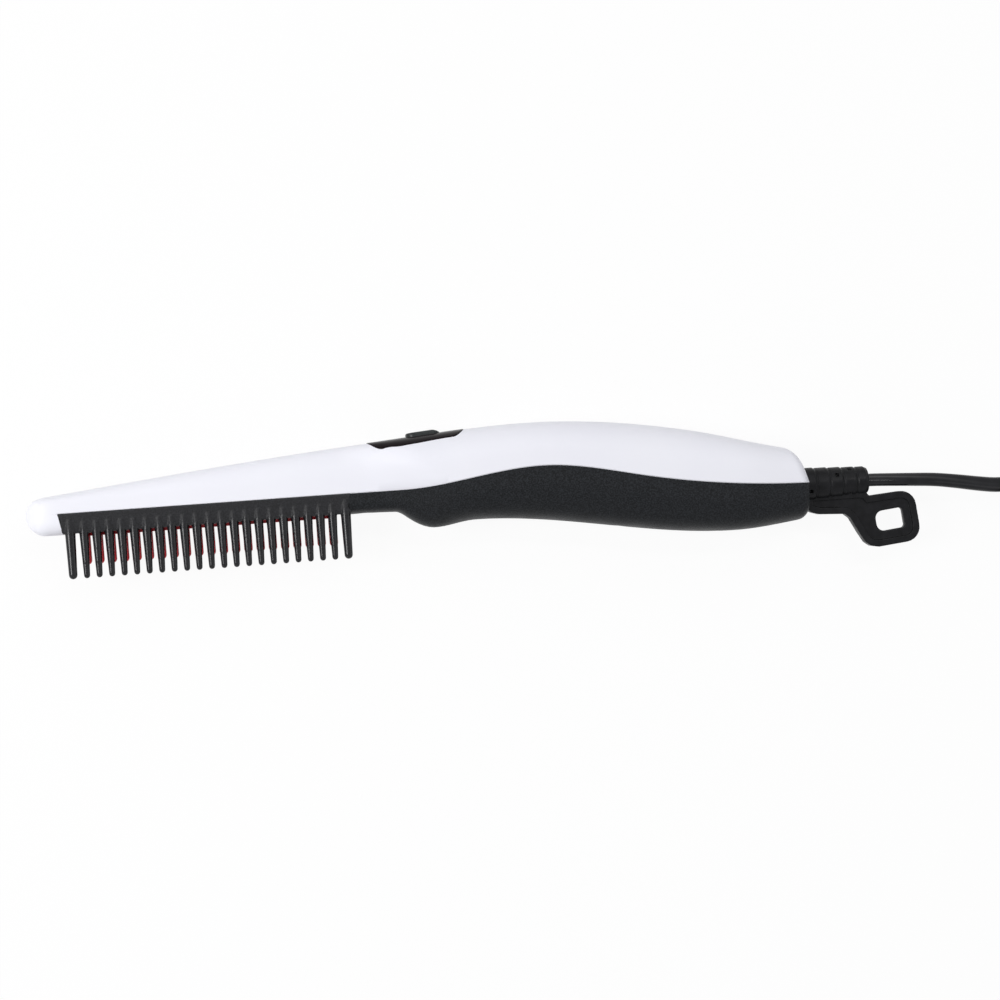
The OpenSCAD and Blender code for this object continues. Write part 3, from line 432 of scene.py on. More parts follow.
def piano_black():
    surface = Surface("piano_black", (0.011, 0.0075, 0.008), 0.22, specular=0.04)
    surface.vary_colour(surface.noise(14, 2), (0.009, 0.006, 0.007))
    surface.vary_roughness(surface.noise(5, 4), 0.18, 0.24)
    return surface.bump(surface.noise(2.2, 2), 0.003).material


def button_grey():
    surface = Surface("button_grey", (0.016, 0.018, 0.018), 0.36, specular=0.2)
    surface.vary_colour(surface.noise(0.8, 4), (0.026, 0.03, 0.03))
    surface.vary_roughness(surface.noise(3, 3), 0.3, 0.42)
    return surface.bump(surface.noise(0.35, 2), 0.015).material


def red_anodised():
    surface = Surface("red_anodised", (0.62, 0.002, 0.012), 0.42, metallic=0.2)
    brushed = surface.stretched(0.12, 1, 1)
    surface.vary_colour(surface.noise(0.6, 4, brushed), (0.45, 0.001, 0.008))
    surface.vary_roughness(surface.noise(2, 3), 0.34, 0.48)
    return surface.bump(surface.noise(0.25, 3, brushed), 0.008).material


def soft_rubber(name, colour, roughness, grain):
    surface = Surface(name, colour, roughness, specular=0.12)
    surface.vary_colour(surface.noise(2.5, 4), tuple(c * 2 for c in colour))
    surface.vary_roughness(surface.noise(4, 4), roughness - 0.08, roughness + 0.1)
    return surface.bump(surface.noise(grain, 3), 0.025).material


def cord_jacket():
    surface = Surface("cord_jacket", (0.004, 0.004, 0.005), 0.16, specular=0.2)
    surface.vary_colour(surface.noise(5, 3), (0.009, 0.009, 0.011))
    surface.vary_roughness(surface.noise(8, 4), 0.12, 0.18)
    return surface.bump(surface.noise(1.4, 3), 0.012).material


# Width of one thread of the strap's weave
THREAD = 0.55


def woven_strap():
    surface = Surface("woven_strap", (0.012, 0.012, 0.014), 0.85)
    surface.shader.inputs["Sheen Weight"].default_value = 0.3
    weave = surface.product(surface.wave(THREAD, "X"), surface.wave(THREAD, "Y"))
    surface.vary_colour(weave, (0.04, 0.04, 0.044), 0.2, 0.8)
    surface.vary_roughness(surface.noise(2, 3), 0.78, 0.92)
    return surface.bump(weave, 0.18).material


def metal(name, colour, roughness):
    surface = Surface(name, colour, roughness, metallic=1.0)
    surface.vary_colour(surface.noise(1.5, 4), tuple(c * 0.82 for c in colour))
    surface.vary_roughness(surface.noise(0.8, 4), roughness - 0.05, roughness + 0.1)
    return surface.bump(surface.noise(0.3, 2), 0.006).material


def inner_plastic(name, colour, roughness=0.5):
    surface = Surface(name, colour, roughness)
    surface.vary_colour(surface.noise(1.2, 4), tuple(c * 0.8 for c in colour))
    surface.vary_roughness(surface.noise(2, 3), roughness - 0.08, roughness + 0.08)
    return surface.bump(surface.noise(0.4, 3), 0.02).material


# ---- mesh helpers --------------------------------------------------------------------
MERGE_DISTANCE = 1e-7
# Sides of the small round pieces
SIDES = 40


def new_object(name, points, faces):
    """A closed mesh with its faces turned outwards."""
    mesh = bpy.data.meshes.new(name)
    mesh.from_pydata(points, [], faces)
    bm = bmesh.new()
    bm.from_mesh(mesh)
    bmesh.ops.remove_doubles(bm, verts=bm.verts, dist=MERGE_DISTANCE)
    bmesh.ops.recalc_face_normals(bm, faces=bm.faces)
    bm.to_mesh(mesh)
    bm.free()
    obj = bpy.data.objects.new(name, mesh)
    bpy.context.scene.collection.objects.link(obj)
    return obj


def apply_modifiers(obj):
    bpy.context.view_layer.update()
    evaluated = obj.evaluated_get(bpy.context.evaluated_depsgraph_get())
    mesh = bpy.data.meshes.new_from_object(evaluated)
    obj.modifiers.clear()
    old = obj.data
    obj.data = mesh
    bpy.data.meshes.remove(old)


def shade(obj, angle=38):
    obj.data.shade_smooth()
    obj.data.set_sharp_from_angle(angle=math.radians(angle))


def bevel_edges(obj, width, segments):
    bevel = obj.modifiers.new("edges", "BEVEL")
    bevel.width = width * MM
    bevel.segments = segments
    bevel.limit_method = "ANGLE"
    apply_modifiers(obj)


def finish_piece(obj, material, body, slot, *nodes):
    """Gives a piece its material, body and slot, and lets it stand for the CAD nodes."""
    obj.data.materials.clear()
    obj.data.materials.append(material)
    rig.ride(obj, body)
    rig.slot(obj, slot)
    if nodes:
        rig.replaces(obj, *nodes)
    return obj


def cut(obj, *tools):
    """Takes the tools' volumes out of the object and deletes the tools."""
    for tool in tools:
        modifier = obj.modifiers.new("cut", "BOOLEAN")
        modifier.operation = "DIFFERENCE"
        modifier.solver = "EXACT"
        modifier.object = tool
    apply_modifiers(obj)
    for tool in tools:
        bpy.data.objects.remove(tool)


def bridge(rows, closed_rows=True):
    """Quads between rows of point numbers; each row is a ring when closed_rows is true."""
    faces = []
    for a, b in zip(rows, rows[1:]):
        count = len(a)
        for k in range(count if closed_rows else count - 1):
            n = (k + 1) % count
            faces.append((a[k], a[n], b[n], b[k]))
    return faces


def numbered(rings):
    """The points of the rings in one list, and the rings as rows of point numbers."""
    count = len(rings[0])
    rows = [[i * count + k for k in range(count)] for i in range(len(rings))]
    return [p for ring in rings for p in ring], rows


def loft(name, rings):
    """A closed solid through rings of points, with flat ends."""
    points, rows = numbered(rings)
    return new_object(name, points, bridge(rows) + [tuple(rows[0]), tuple(rows[-1])])


def looped(name, rings):
    """A closed solid whose last ring joins its first."""
    points, rows = numbered(rings)
    return new_object(name, points, bridge(rows + [rows[0]]))


def turn(count):
    """Even angles of one whole turn."""
    return [2 * math.pi * k / count for k in range(count)]


def lathe(name, profile, place, sides=SIDES):
    """A solid turned about x. profile holds (x, radius), place turns a point into the frame."""
    return loft(name, [[place(x, r * math.cos(a), r * math.sin(a)) for a in turn(sides)]
                       for x, r in profile])


def upright(name, x, profile):
    """A solid turned about a line that stands at x. profile holds (height, radius)."""
    return loft(name, [[at(x + r * math.cos(a), y, r * math.sin(a)) for a in turn(SIDES)]
                       for y, r in profile])


def rectangle(x, y, wide, deep):
    """A rectangle about a middle, from half its sides."""
    return [(x - wide, y - deep), (x + wide, y - deep), (x + wide, y + deep), (x - wide, y + deep)]


def join(name, objects):
    """One object out of several, which are deleted."""
    bm = bmesh.new()
    for obj in objects:
        bm.from_mesh(obj.data)
    mesh = bpy.data.meshes.new(name)
    bm.to_mesh(mesh)
    bm.free()
    for obj in objects:
        bpy.data.objects.remove(obj)
    joined = bpy.data.objects.new(name, mesh)
    bpy.context.scene.collection.objects.link(joined)
    return joined


SOFT_VOXEL = 0.17


def softened(name, node, passes, swell):
    """A copy of a CAD node's mesh with its edges rounded, as a mould leaves them."""
    mesh = frame["nodes"][node].data.copy()
    mesh.name = name
    obj = bpy.data.objects.new(name, mesh)
    bpy.context.scene.collection.objects.link(obj)
    remesh = obj.modifiers.new("voxels", "REMESH")
    remesh.mode = "VOXEL"
    remesh.voxel_size = SOFT_VOXEL * MM
    relax = obj.modifiers.new("relax", "SMOOTH")
    relax.iterations = passes
    swollen = obj.modifiers.new("swell", "DISPLACE")
    swollen.strength = swell * MM
    swollen.mid_level = 0
    apply_modifiers(obj)
    obj.data.shade_smooth()
    return obj


# ---- curves of the housing -----------------------------------------------------------
def clamp01(t):
    return min(1.0, max(0.0, t))


def smooth(t):
    t = clamp01(t)
    return t * t * (3 - 2 * t)


def curve(stations, x):
    """A curve through stations of (x, height, slope)."""
    if x <= stations[0][0]:
        return stations[0][1]
    for a, b in zip(stations, stations[1:]):
        if x <= b[0]:
            length = b[0] - a[0]
            t = (x - a[0]) / length
            return ((2 * t**3 - 3 * t**2 + 1) * a[1] + (t**3 - 2 * t**2 + t) * length * a[2]
                    + (3 * t**2 - 2 * t**3) * b[1] + (t**3 - t**2) * length * b[2])
    return stations[-1][1]


def close_off(x, r):
    """Quarter of a circle that closes a form over the length r."""
    return 1.0 if x >= r else math.sqrt(max(0.0, 1 - (1 - x / r) ** 2))


def back(x):
    return curve(BACK, x) * close_off(x, NOSE_ROUND)


def seam(x):
    return curve(SEAM, x)


def belly(x):
    return curve(BELLY, x)


def chin(x):
    return -HEAD_DEPTH * close_off(x, NOSE_ROUND)


def slant_x(y):
    return COMB_FRONT + FRONT_SLANT * (SEAM_HEAD - y) / (HEAD_DEPTH + SEAM_HEAD)


def half_width(x, y):
    flare = (HANDLE_HALF - HEAD_HALF) * smooth((x - FLARE_X + FLARE_LEAN * y) / FLARE_LENGTH)
    taper = REAR_TAPER * smooth((x - BODY_LENGTH + REAR_TAPER_LENGTH) / REAR_TAPER_LENGTH)
    blunt = NOSE_BLUNT + (1 - NOSE_BLUNT) * close_off(x, NOSE_PLAN_LENGTH)
    return (HEAD_HALF + flare - taper) * blunt * close_off(x, NOSE_ROUND)


def lean(x, y):
    share = smooth((x - BODY_LENGTH + LEAN_LENGTH) / LEAN_LENGTH)
    return x - REAR_LEAN * max(0.0, y - seam(x)) * share


def rounded_in(x):
    d = x - BODY_LENGTH + REAR_ROUND
    return 0.0 if d <= 0 else REAR_ROUND - math.sqrt(max(0.0, REAR_ROUND**2 - d**2))


def power(value, exponent):
    return math.copysign(abs(value) ** exponent, value)


# ---- housing shells ------------------------------------------------------------------
ARCH_STEPS = 44
# Least height of the chamfer at the seam, so that its points stay apart where it has no width
LAND = 0.02


def arch(x, side, inset, top, groove):
    """An arch of the section from the +z seam edge to the other, with a chamfer at the seam."""
    y0 = seam(x)
    band = min(SIDE_BAND, BAND_SHARE * abs(top - y0))
    rise = abs(top - y0) - band - inset
    wide = half_width(x, y0) - inset
    section = [(y0, wide - groove), (y0 + side * (groove + LAND), wide)]
    for k in range(ARCH_STEPS + 1):
        a = math.pi * k / ARCH_STEPS
        lift = rise * power(math.sin(a), 2 / SECTION_POWER) if 0 < k < ARCH_STEPS else 0.0
        y = y0 + side * (band + lift)
        section.append((y, (half_width(x, y) - inset) * power(math.cos(a), 2 / SECTION_POWER)))
    section += [(y, -z) for y, z in reversed(section[:2])]
    return [at(lean(x, y) if side > 0 else x, y, z) for y, z in section]


def spread(a, b, step):
    """Even stations from a up to, but not including, b, about a step apart."""
    count = max(1, round((b - a) / step))
    return [a + k * (b - a) / count for k in range(count)]


def rear_stations(x):
    return [x - REAR_ROUND * (1 - math.sin(math.radians(a))) for a in range(0, 91, 10)]


def inner_stations(stations, rear):
    return [x - max(0.0, x - rear + REAR_BLEND) * REAR_WALL / REAR_BLEND for x in stations]


def shell(name, side, stations, rear, nose=()):
    """A shell between its outer and inner faces, closed behind, with the nose's rings before it."""
    top = back if side > 0 else belly
    outer = [arch(x, side, rounded_in(x), top(x), SEAM_GROOVE) for x in stations]
    inner = [arch(x, side, WALL + rounded_in(x + WALL), top(x), 0.0)
             for x in inner_stations(stations, rear)]
    over = [arch(x, 1, 0.0, back(x), 0.0) for x in nose]
    points = []

    def rows(rings):
        start = len(points)
        count = len(rings[0]) if rings else 0
        for ring in rings:
            points.extend(ring)
        return [[start + i * count + k for k in range(count)] for i in range(len(rings))]

    out_rows, in_rows = rows(outer), rows(inner)
    faces = bridge(out_rows, False) + bridge(in_rows, False)
    for i in (0, -1):
        faces += bridge([[row[i] for row in in_rows], [row[i] for row in out_rows]], False)
    faces += [tuple(out_rows[-1]), tuple(in_rows[-1]),
              (in_rows[-1][0], out_rows[-1][0], out_rows[-1][-1], in_rows[-1][-1])]
    if not nose:
        return new_object(name, points, faces + bridge([out_rows[0], in_rows[0]], False))
    hood = rows(over) + [out_rows[0]]
    jaw = []
    for x, row in zip([*nose, stations[0]], hood):
        ring = []
        for k in range(1, ARCH_STEPS):
            a = math.pi * k / ARCH_STEPS
            y = seam(x) + (chin(x) - seam(x)) * power(math.sin(a), 2 / CHIN_POWER)
            z = half_width(x, seam(x)) * power(math.cos(a), 2 / CHIN_POWER)
            ring.append(at(slant_x(y) if x == stations[0] else x, y, z))
        jaw.append([row[0], *rows([ring])[0], row[-1]])
    faces += bridge(hood, False) + bridge(jaw, False)
    faces += [tuple(hood[0] + jaw[0][-2:0:-1]), tuple(in_rows[0]),
              (*jaw[-1], in_rows[0][-1], in_rows[0][0])]
    return new_object(name, points, faces)


def on_panel(u, v, z):
    """A point of the panel's frame: u along it from the button, v out of it."""
    c, s = math.cos(PANEL_SLOPE), math.sin(PANEL_SLOPE)
    return at(BUTTON_X + u * c - v * s, back(BUTTON_X) + u * s + v * c, z)


PANEL_SLOPE = math.atan2(back(PANEL_X + PANEL_LENGTH) - back(PANEL_X), PANEL_LENGTH)
SIDE_STEPS = 12
# Where the panel's sides bulge most, as a share of their length
BULGE_AT = 0.25


def panel_outline(grow):
    """A long shield with elliptic ends, whose sides look straight from the side."""
    x0 = PANEL_X - BUTTON_X - grow
    x1 = x0 + PANEL_LENGTH + 2 * grow
    front, rear = PANEL_FRONT_HALF + grow, PANEL_REAR_HALF + grow
    side = []
    for k in range(1, SIDE_STEPS):
        t = k / SIDE_STEPS
        bulge = PANEL_BULGE * smooth(t / BULGE_AT) * (1 - smooth((t - BULGE_AT) / (1 - BULGE_AT)))
        side.append((x0 + PANEL_NOSE + t * (x1 - PANEL_TAIL - x0 - PANEL_NOSE),
                     front + t * (rear - front) + bulge))
    nose = [math.radians(a) for a in range(90, 271, 5)]
    tail = [math.radians(a) for a in range(-90, 91, 5)]
    return ([(x0 + PANEL_NOSE * (1 + math.cos(a)), front * math.sin(a)) for a in nose]
            + [(u, -z) for u, z in side]
            + [(x1 - PANEL_TAIL * (1 - math.cos(a)), rear * math.sin(a)) for a in tail]
            + list(reversed(side)))


def box_outline(length, width, r):
    """A rectangle with round corners, about its middle."""
    outline = []
    for sx, sy, start in ((1, 1, 0), (-1, 1, 90), (-1, -1, 180), (1, -1, 270)):
        for t in range(0, 91, 10):
            a = math.radians(start + t)
            outline.append((sx * (length / 2 - r) + r * math.cos(a),
                            sy * (width / 2 - r) + r * math.sin(a)))
    return outline


NEARLY_ZERO = 1e-9


def ray_ring(outline, count):
    """The outline seen from its frame's origin at even angles."""
    ring = []
    for a in turn(count):
        direction = (math.cos(a), math.sin(a))
        best = 0.0
        for p, q in zip(outline, outline[1:] + outline[:1]):
            edge = (q[0] - p[0], q[1] - p[1])
            det = direction[1] * edge[0] - direction[0] * edge[1]
            if abs(det) < NEARLY_ZERO:
                continue
            reach = (p[1] * edge[0] - p[0] * edge[1]) / det
            share = (direction[0] * p[1] - direction[1] * p[0]) / det
            if -NEARLY_ZERO <= share <= 1 + NEARLY_ZERO:
                best = max(best, reach)
        ring.append((best * direction[0], best * direction[1]))
    return ring


def prism(name, outline, v0, v1):
    """A plan in the panel's frame, extruded from v0 to v1."""
    return loft(name, [[on_panel(u, v, z) for u, z in outline] for v in (v0, v1)])


def skin_height(u, z):
    """Height v of the upper shell's outer face in the panel's frame.

    The face bends away under the frame's slope, so each pass starts from the last one's height."""
    c, s = math.cos(PANEL_SLOPE), math.sin(PANEL_SLOPE)
    v = 0.0
    for _ in range(4):
        x = BUTTON_X + u * c - v * s
        foot = seam(x) + SIDE_BAND
        y = back(x)
        for _ in range(3):
            across = min(1.0, abs(z) / half_width(x, y))
            y = foot + (back(x) - foot) * (1 - across**SECTION_POWER) ** (1 / SECTION_POWER)
        v = (y - back(BUTTON_X) - u * s) / c
    return v


def neck_tool(name):
    """The hole that the swivel's neck turns in."""
    ends = BODY_LENGTH - REAR_BLEND, BODY_LENGTH + OVERSHOOT
    profile = [(x, NECK_HOLE_RADIUS) for x in ends]
    return lathe(name, profile, lambda x, a, b: at(x, SWIVEL_Y + a, b), 64)


# Distances between the stations of the shells, along the head, the handle and the lower bend
HEAD_STEP = 2
FRONT_STEP = 1.8
HANDLE_STEP = 1.6
BEND_STEP = 0.4
# Stations between the round of the nose and the comb's front
BEHIND_NOSE = [7.6, 9]


def build_upper_shell(material):
    nose = [NOSE_ROUND * (1 - math.cos(math.radians(a))) for a in range(7, 91, 7)]
    nose += BEHIND_NOSE
    stations = spread(COMB_FRONT, HEAD_LENGTH, HEAD_STEP)
    stations += spread(HEAD_LENGTH, BODY_LENGTH - REAR_ROUND, HANDLE_STEP)
    obj = shell("white_shell", 1, stations + rear_stations(BODY_LENGTH), BODY_LENGTH, nose)
    window = box_outline(BUTTON_LENGTH + 2 * WINDOW_MARGIN, BUTTON_WIDTH + 2 * WINDOW_MARGIN,
                         WINDOW_CORNER)
    cut(obj, prism("seat", panel_outline(PANEL_GAP), -PANEL_DEPTH, PANEL_SEAT_TOP),
        prism("window", window, -PANEL_DEPTH - TOOL_REACH, -PANEL_DEPTH + OVERSHOOT),
        neck_tool("neck"))
    shade(obj)
    finish_piece(obj, material, "housing", "white_gloss", "upper_shell")


def build_lower_shell(material):
    rear = BODY_LENGTH - SHELL_STEP
    stations = spread(HEAD_LENGTH - GUARD_LAP, BEND_FROM, FRONT_STEP)
    stations += spread(BEND_FROM, BEND_TO, BEND_STEP)
    stations += spread(BEND_TO, rear - REAR_ROUND, HANDLE_STEP)
    obj = shell("black_shell", -1, stations + rear_stations(rear), rear)
    r = SCREW_HEAD_RADIUS + CLEARANCE
    wells = [upright("well", x, [(belly(x) - OVERSHOOT, r), (belly(x) + HEAD_SEAT, r)])
             for x in BOSS_X]
    cut(obj, neck_tool("neck"), *wells)
    shade(obj)
    finish_piece(obj, material, "housing", "black_moulded", "lower_shell")


# ---- switch panel and button ---------------------------------------------------------
# Points round the panel and the button
PANEL_COUNT = 160
BUTTON_COUNT = 96
LEAST_CORNER = 0.2


def build_panel(material):
    length, width = BUTTON_LENGTH + 2 * CLEARANCE, BUTTON_WIDTH + 2 * CLEARANCE

    def hole(grow):
        r = BUTTON_CORNER + CLEARANCE + grow
        return ray_ring(box_outline(length + 2 * grow, width + 2 * grow, r), PANEL_COUNT)

    def ring(plan, sink):
        return [on_panel(u, skin_height(u, z) + PANEL_PROUD - sink, z) for u, z in plan]

    def floor(plan):
        return [on_panel(u, -PANEL_DEPTH, z) for u, z in plan]

    def edge(grow):
        return ray_ring(panel_outline(grow), PANEL_COUNT)

    rim = [(PANEL_RIM * (1 - math.cos(a)), PANEL_RIM * (1 - math.sin(a)))
           for a in [math.radians(22.5 * k) for k in range(5)]]
    rings = [floor(edge(0)), *[ring(edge(-inset), sink) for inset, sink in rim]]
    outer, inner = edge(-PANEL_RIM), hole(PANEL_RIM)
    for t in [k / 12 for k in range(1, 12)]:
        rings.append(ring([(a[0] + t * (b[0] - a[0]), a[1] + t * (b[1] - a[1]))
                           for a, b in zip(outer, inner)], 0))
    rings += [*[ring(hole(inset), sink) for inset, sink in reversed(rim)], floor(hole(0))]
    obj = looped("gloss_panel", rings)
    shade(obj, 50)
    finish_piece(obj, material, "housing", "piano_black", "switch_panel")


def button_top(u):
    """Height of the cap's top at u: flat, then sloping down to its tail."""
    t = clamp01((u - BUTTON_LENGTH / 2 + BUTTON_TAIL) / BUTTON_TAIL)
    return BUTTON_RISE - (BUTTON_RISE - TAIL_RISE) * t**TAIL_POWER


def build_button(material):
    def plan(inset):
        r = max(LEAST_CORNER, BUTTON_CORNER - inset)
        outline = box_outline(BUTTON_LENGTH - 2 * inset, BUTTON_WIDTH - 2 * inset, r)
        return ray_ring(outline, BUTTON_COUNT)

    def flat(inset, v):
        return [on_panel(u, v, z) for u, z in plan(inset)]

    def top(inset, drop):
        return [on_panel(u, button_top(u) - drop, z) for u, z in plan(inset)]

    flange_low, flange_top = -PANEL_DEPTH - FLANGE_THICK, -PANEL_DEPTH - FLANGE_GAP
    rings = [flat(-BUTTON_FLANGE, flange_low), flat(-BUTTON_FLANGE, flange_top),
             flat(0, flange_top)]
    for a in [math.radians(15 * k) for k in range(7)]:
        rings.append(top(BUTTON_RIM * (1 - math.cos(a)),
                         BUTTON_CROWN + BUTTON_RIM * (1 - math.sin(a))))
    half = BUTTON_WIDTH / 2 - BUTTON_RIM
    for t in CROWN_STEPS:
        rings.append(top(BUTTON_RIM + t * half, BUTTON_CROWN * (1 - t) ** 2))
    cap = loft("button_cap", rings)
    circle = [(STEM_RADIUS * math.cos(a), STEM_RADIUS * math.sin(a)) for a in turn(32)]
    post = prism("stem", circle, STEM_END, flange_low)
    obj = join("push_button", [cap, post])
    shade(obj, 50)
    finish_piece(obj, material, "button", "button_grey", "power_button")


# ---- heating comb --------------------------------------------------------------------
BLADES = 21
BLADE_PITCH = 3.923
FIRST_BLADE = COMB_FRONT + 7.7
BLADE_WIDTH = 2.7
BLADE_THICK = 2.4
BLADE_REACH = 17
BAR_DEPTH = 7.8
BAR_THICK = 6
TAB_LENGTH = 2.4
TAB_THICK = 2.2
EDGE_ROUND = 0.22


def slab(name, outline, z0, z1):
    """An outline in x and y extruded across the head."""
    return loft(name, [[at(x, y, z) for x, y in outline] for z in (z0, z1)])


def build_heating_comb(material):
    pieces = []
    r = BLADE_WIDTH / 2
    half_turn = [math.radians(t) for t in range(180, 361, 15)]
    for i in range(BLADES):
        x = FIRST_BLADE + i * BLADE_PITCH
        tip = [(x + r * math.cos(a), r - BLADE_REACH + r * math.sin(a)) for a in half_turn]
        outline = [*tip, (x + r, -BAR_DEPTH + 1), (x - r, -BAR_DEPTH + 1)]
        pieces.append(slab("blade", outline, -BLADE_THICK / 2, BLADE_THICK / 2))
    x0, x1 = FIRST_BLADE - r, FIRST_BLADE + (BLADES - 1) * BLADE_PITCH + r
    tab0, tab1, low = x0 - TAB_LENGTH, x1 + TAB_LENGTH, -BAR_TOP - TAB_THICK
    outline = [(x0, -BAR_DEPTH), (x1, -BAR_DEPTH), (x1, low), (tab1, low),
               (tab1, -BAR_TOP), (tab0, -BAR_TOP), (tab0, low), (x0, low)]
    pieces.append(slab("bar", outline, -BAR_THICK / 2, BAR_THICK / 2))
    obj = join("red_comb", pieces)
    bevel_edges(obj, EDGE_ROUND, 3)
    shade(obj, 30)
    finish_piece(obj, material, "housing", "red_anodised", "heating_comb")


# ---- cord ----------------------------------------------------------------------------
CORD_WIDTH = 5.2
CORD_THICK = 3.2
CORD_LENGTH = 1.8
CORD_STEP = 2.2
HANK_LEFT = 208
HANK_RUN = 104
HANK_Y = -21.3
HANK_INNER = 15.8
HANK_OUTER = 21.2
HANK_LEAD = (0, 7, 14)
LAYERS = (2.4, 5.7, 9.0)
# Points of the cord before its hank and behind it
CORD_ROUTE = [(128.8, -2.4, 13.5), (132, -2.5, 13.5), (138, -2.85, 13.5), (145, -3.3, 12.9),
              (153, -3.9, 11.7), (161, -5.0, 9.9), (169, -6.3, 7.8), (176, -7.2, 5.7),
              (182, -7.1, 4.2), (188, -5.9, 3.3), (194, -4.0, 2.8), (200, -2.0, 2.5),
              (205, -0.7, 2.4)]
TAIL_ROUTE = [(228, -5.7, 9), (234, -6.6, 9.3), (241, -9.2, 10.6), (248, -12.5, 12.7),
              (254, -15.8, 15), (260, -18.9, 17), (266, -20.9, 17.9), (271, -21.3, 18),
              (273, -21.3, 18)]
RUN_STEPS = 8
FOLD_STEPS = 12
LOBE_STEPS = 9
LOBE_ANGLE = 118
# The flat cord stands askew where it leaves the comb and lies flat after this length
CORD_TURN = math.radians(58)
CORD_TURN_LENGTH = 78.0


def winding():
    """The hank's turns, clockwise from its upper run's left end, five turns in three layers.

    In the left fold a turn first climbs to its next layer and then moves to its next track, so
    that turns pass over each other."""
    tracks = [(HANK_OUTER, LAYERS[0]), (HANK_INNER, LAYERS[0]), (HANK_INNER, LAYERS[1]),
              (HANK_OUTER, LAYERS[1]), (HANK_OUTER, LAYERS[2]), (HANK_INNER, LAYERS[2])]
    points = []
    run = [k / RUN_STEPS for k in range(RUN_STEPS)]
    for (r, z), (next_r, next_z) in zip(tracks, tracks[1:]):
        points += [(HANK_LEFT + HANK_RUN * t, HANK_Y + r, z) for t in run]
        for k in range(FOLD_STEPS):
            a = math.radians(90 - 180 * k / FOLD_STEPS)
            points.append((HANK_LEFT + HANK_RUN + r * math.cos(a), HANK_Y + r * math.sin(a), z))
        points += [(HANK_LEFT + HANK_RUN * (1 - t), HANK_Y - r, z) for t in run]
        for k in range(FOLD_STEPS):
            t = k / FOLD_STEPS
            a = math.radians(-90 - 180 * t)
            height = z + (next_z - z) * smooth(2 * t)
            radius = r + (next_r - r) * smooth(t if next_z == z else 2 * t - 1)
            points.append((HANK_LEFT + radius * math.cos(a), HANK_Y + radius * math.sin(a), height))
    inner_run = HANK_Y + HANK_INNER
    points += [(HANK_LEFT + x, inner_run, LAYERS[2]) for x in HANK_LEAD]
    return points


def smooth_path(points, step):
    """Points about a step apart on a smooth curve through the given ones."""
    v = [Vector(p) for p in points]
    v = [2 * v[0] - v[1], *v, 2 * v[-1] - v[-2]]
    path = []
    for a, b, c, d in zip(v, v[1:], v[2:], v[3:]):
        count = max(1, round((c - b).length / step))
        for k in range(count):
            t = k / count
            path.append(0.5 * (2 * b + (c - a) * t + (2 * a - 5 * b + 4 * c - d) * t * t
                               + (3 * b - 3 * c + d - a) * t**3))
    return path + [v[-2]]


def cord_section():
    """The outline of a flat twin cord: two round cores with a groove between them."""
    r, offset = CORD_THICK / 2, (CORD_WIDTH - CORD_THICK) / 2
    section = []
    for side in (1, -1):
        for k in range(LOBE_STEPS):
            a = math.radians(LOBE_ANGLE * (2 * k / (LOBE_STEPS - 1) - 1))
            section.append((side * (offset + r * math.cos(a)), side * r * math.sin(a)))
    return section


def build_cord(material):
    path = smooth_path(CORD_ROUTE + winding() + TAIL_ROUTE, CORD_STEP)
    section = cord_section()
    rings, travelled = [], 0.0
    for i, p in enumerate(path):
        ahead = (path[min(i + 1, len(path) - 1)] - path[max(i - 1, 0)]).normalized()
        side = ahead.cross(Vector((0, 0, 1))).normalized()
        up = side.cross(ahead)
        travelled += (p - path[max(i - 1, 0)]).length
        a = CORD_TURN - CORD_TURN * smooth(travelled / CORD_TURN_LENGTH)
        wide = side * math.cos(a) + up * math.sin(a)
        thin = up * math.cos(a) - side * math.sin(a)
        rings.append([(p + wide * x + thin * y) * MM for x, y in section])
    obj = loft("mains_cord", rings)
    shade(obj, 60)
    finish_piece(obj, material, "housing", "cord_black", "power_cord", "cord_hank", "cord_tail")
    return obj, [p * MM for p in path]


# ---- plug, tie and screws ------------------------------------------------------------
PLUG_LENGTH = 44
# Stations of x, half the width and half the height
PLUG_STATIONS = [(0, 3.5, 3.5), (4, 3.7, 3.6), (9, 4.2, 4.0), (12, 5.4, 4.6), (15, 8.2, 5.6),
                 (19, 10.6, 6.4), (25, 12, 6.8), (31, 13.1, 6.9), (36, 15.4, 6.9),
                 (39.5, 17.2, 6.9), (42, 17.6, 6.9), (43.6, 17.6, 6.9), (44, 17.2, 6.5)]
PLUG_SIDES = 56
# The exponent of the plug's section, and how much it grows from the cord's end over a length
PLUG_POWER, PLUG_POWER_GROWTH, PLUG_POWER_LENGTH = 2.2, 2.6, 20
GRIP_X = (20.5, 23, 25.5, 28)
GRIP_Y = 13.2
GRIP_WIDTH = 0.9
GRIP_LENGTH = 3.8
GRIP_HEIGHT = 10
PIN_SPACING = 18.6
PIN_RADIUS = 2.0
PIN_LENGTH = 18
PIN_TIP_RADIUS = 0.02
SLEEVE_LENGTH = 9
SLEEVE_RADIUS = 2.03
SLEEVE_CHAMFER = 0.2
CORD_END = TAIL_ROUTE[-1]


def plug_point(x, y, z):
    """A point of the plug's frame, from its cord end on its axis."""
    return Vector((CORD_END[0] + x, CORD_END[1] + y, CORD_END[2] + z)) * MM


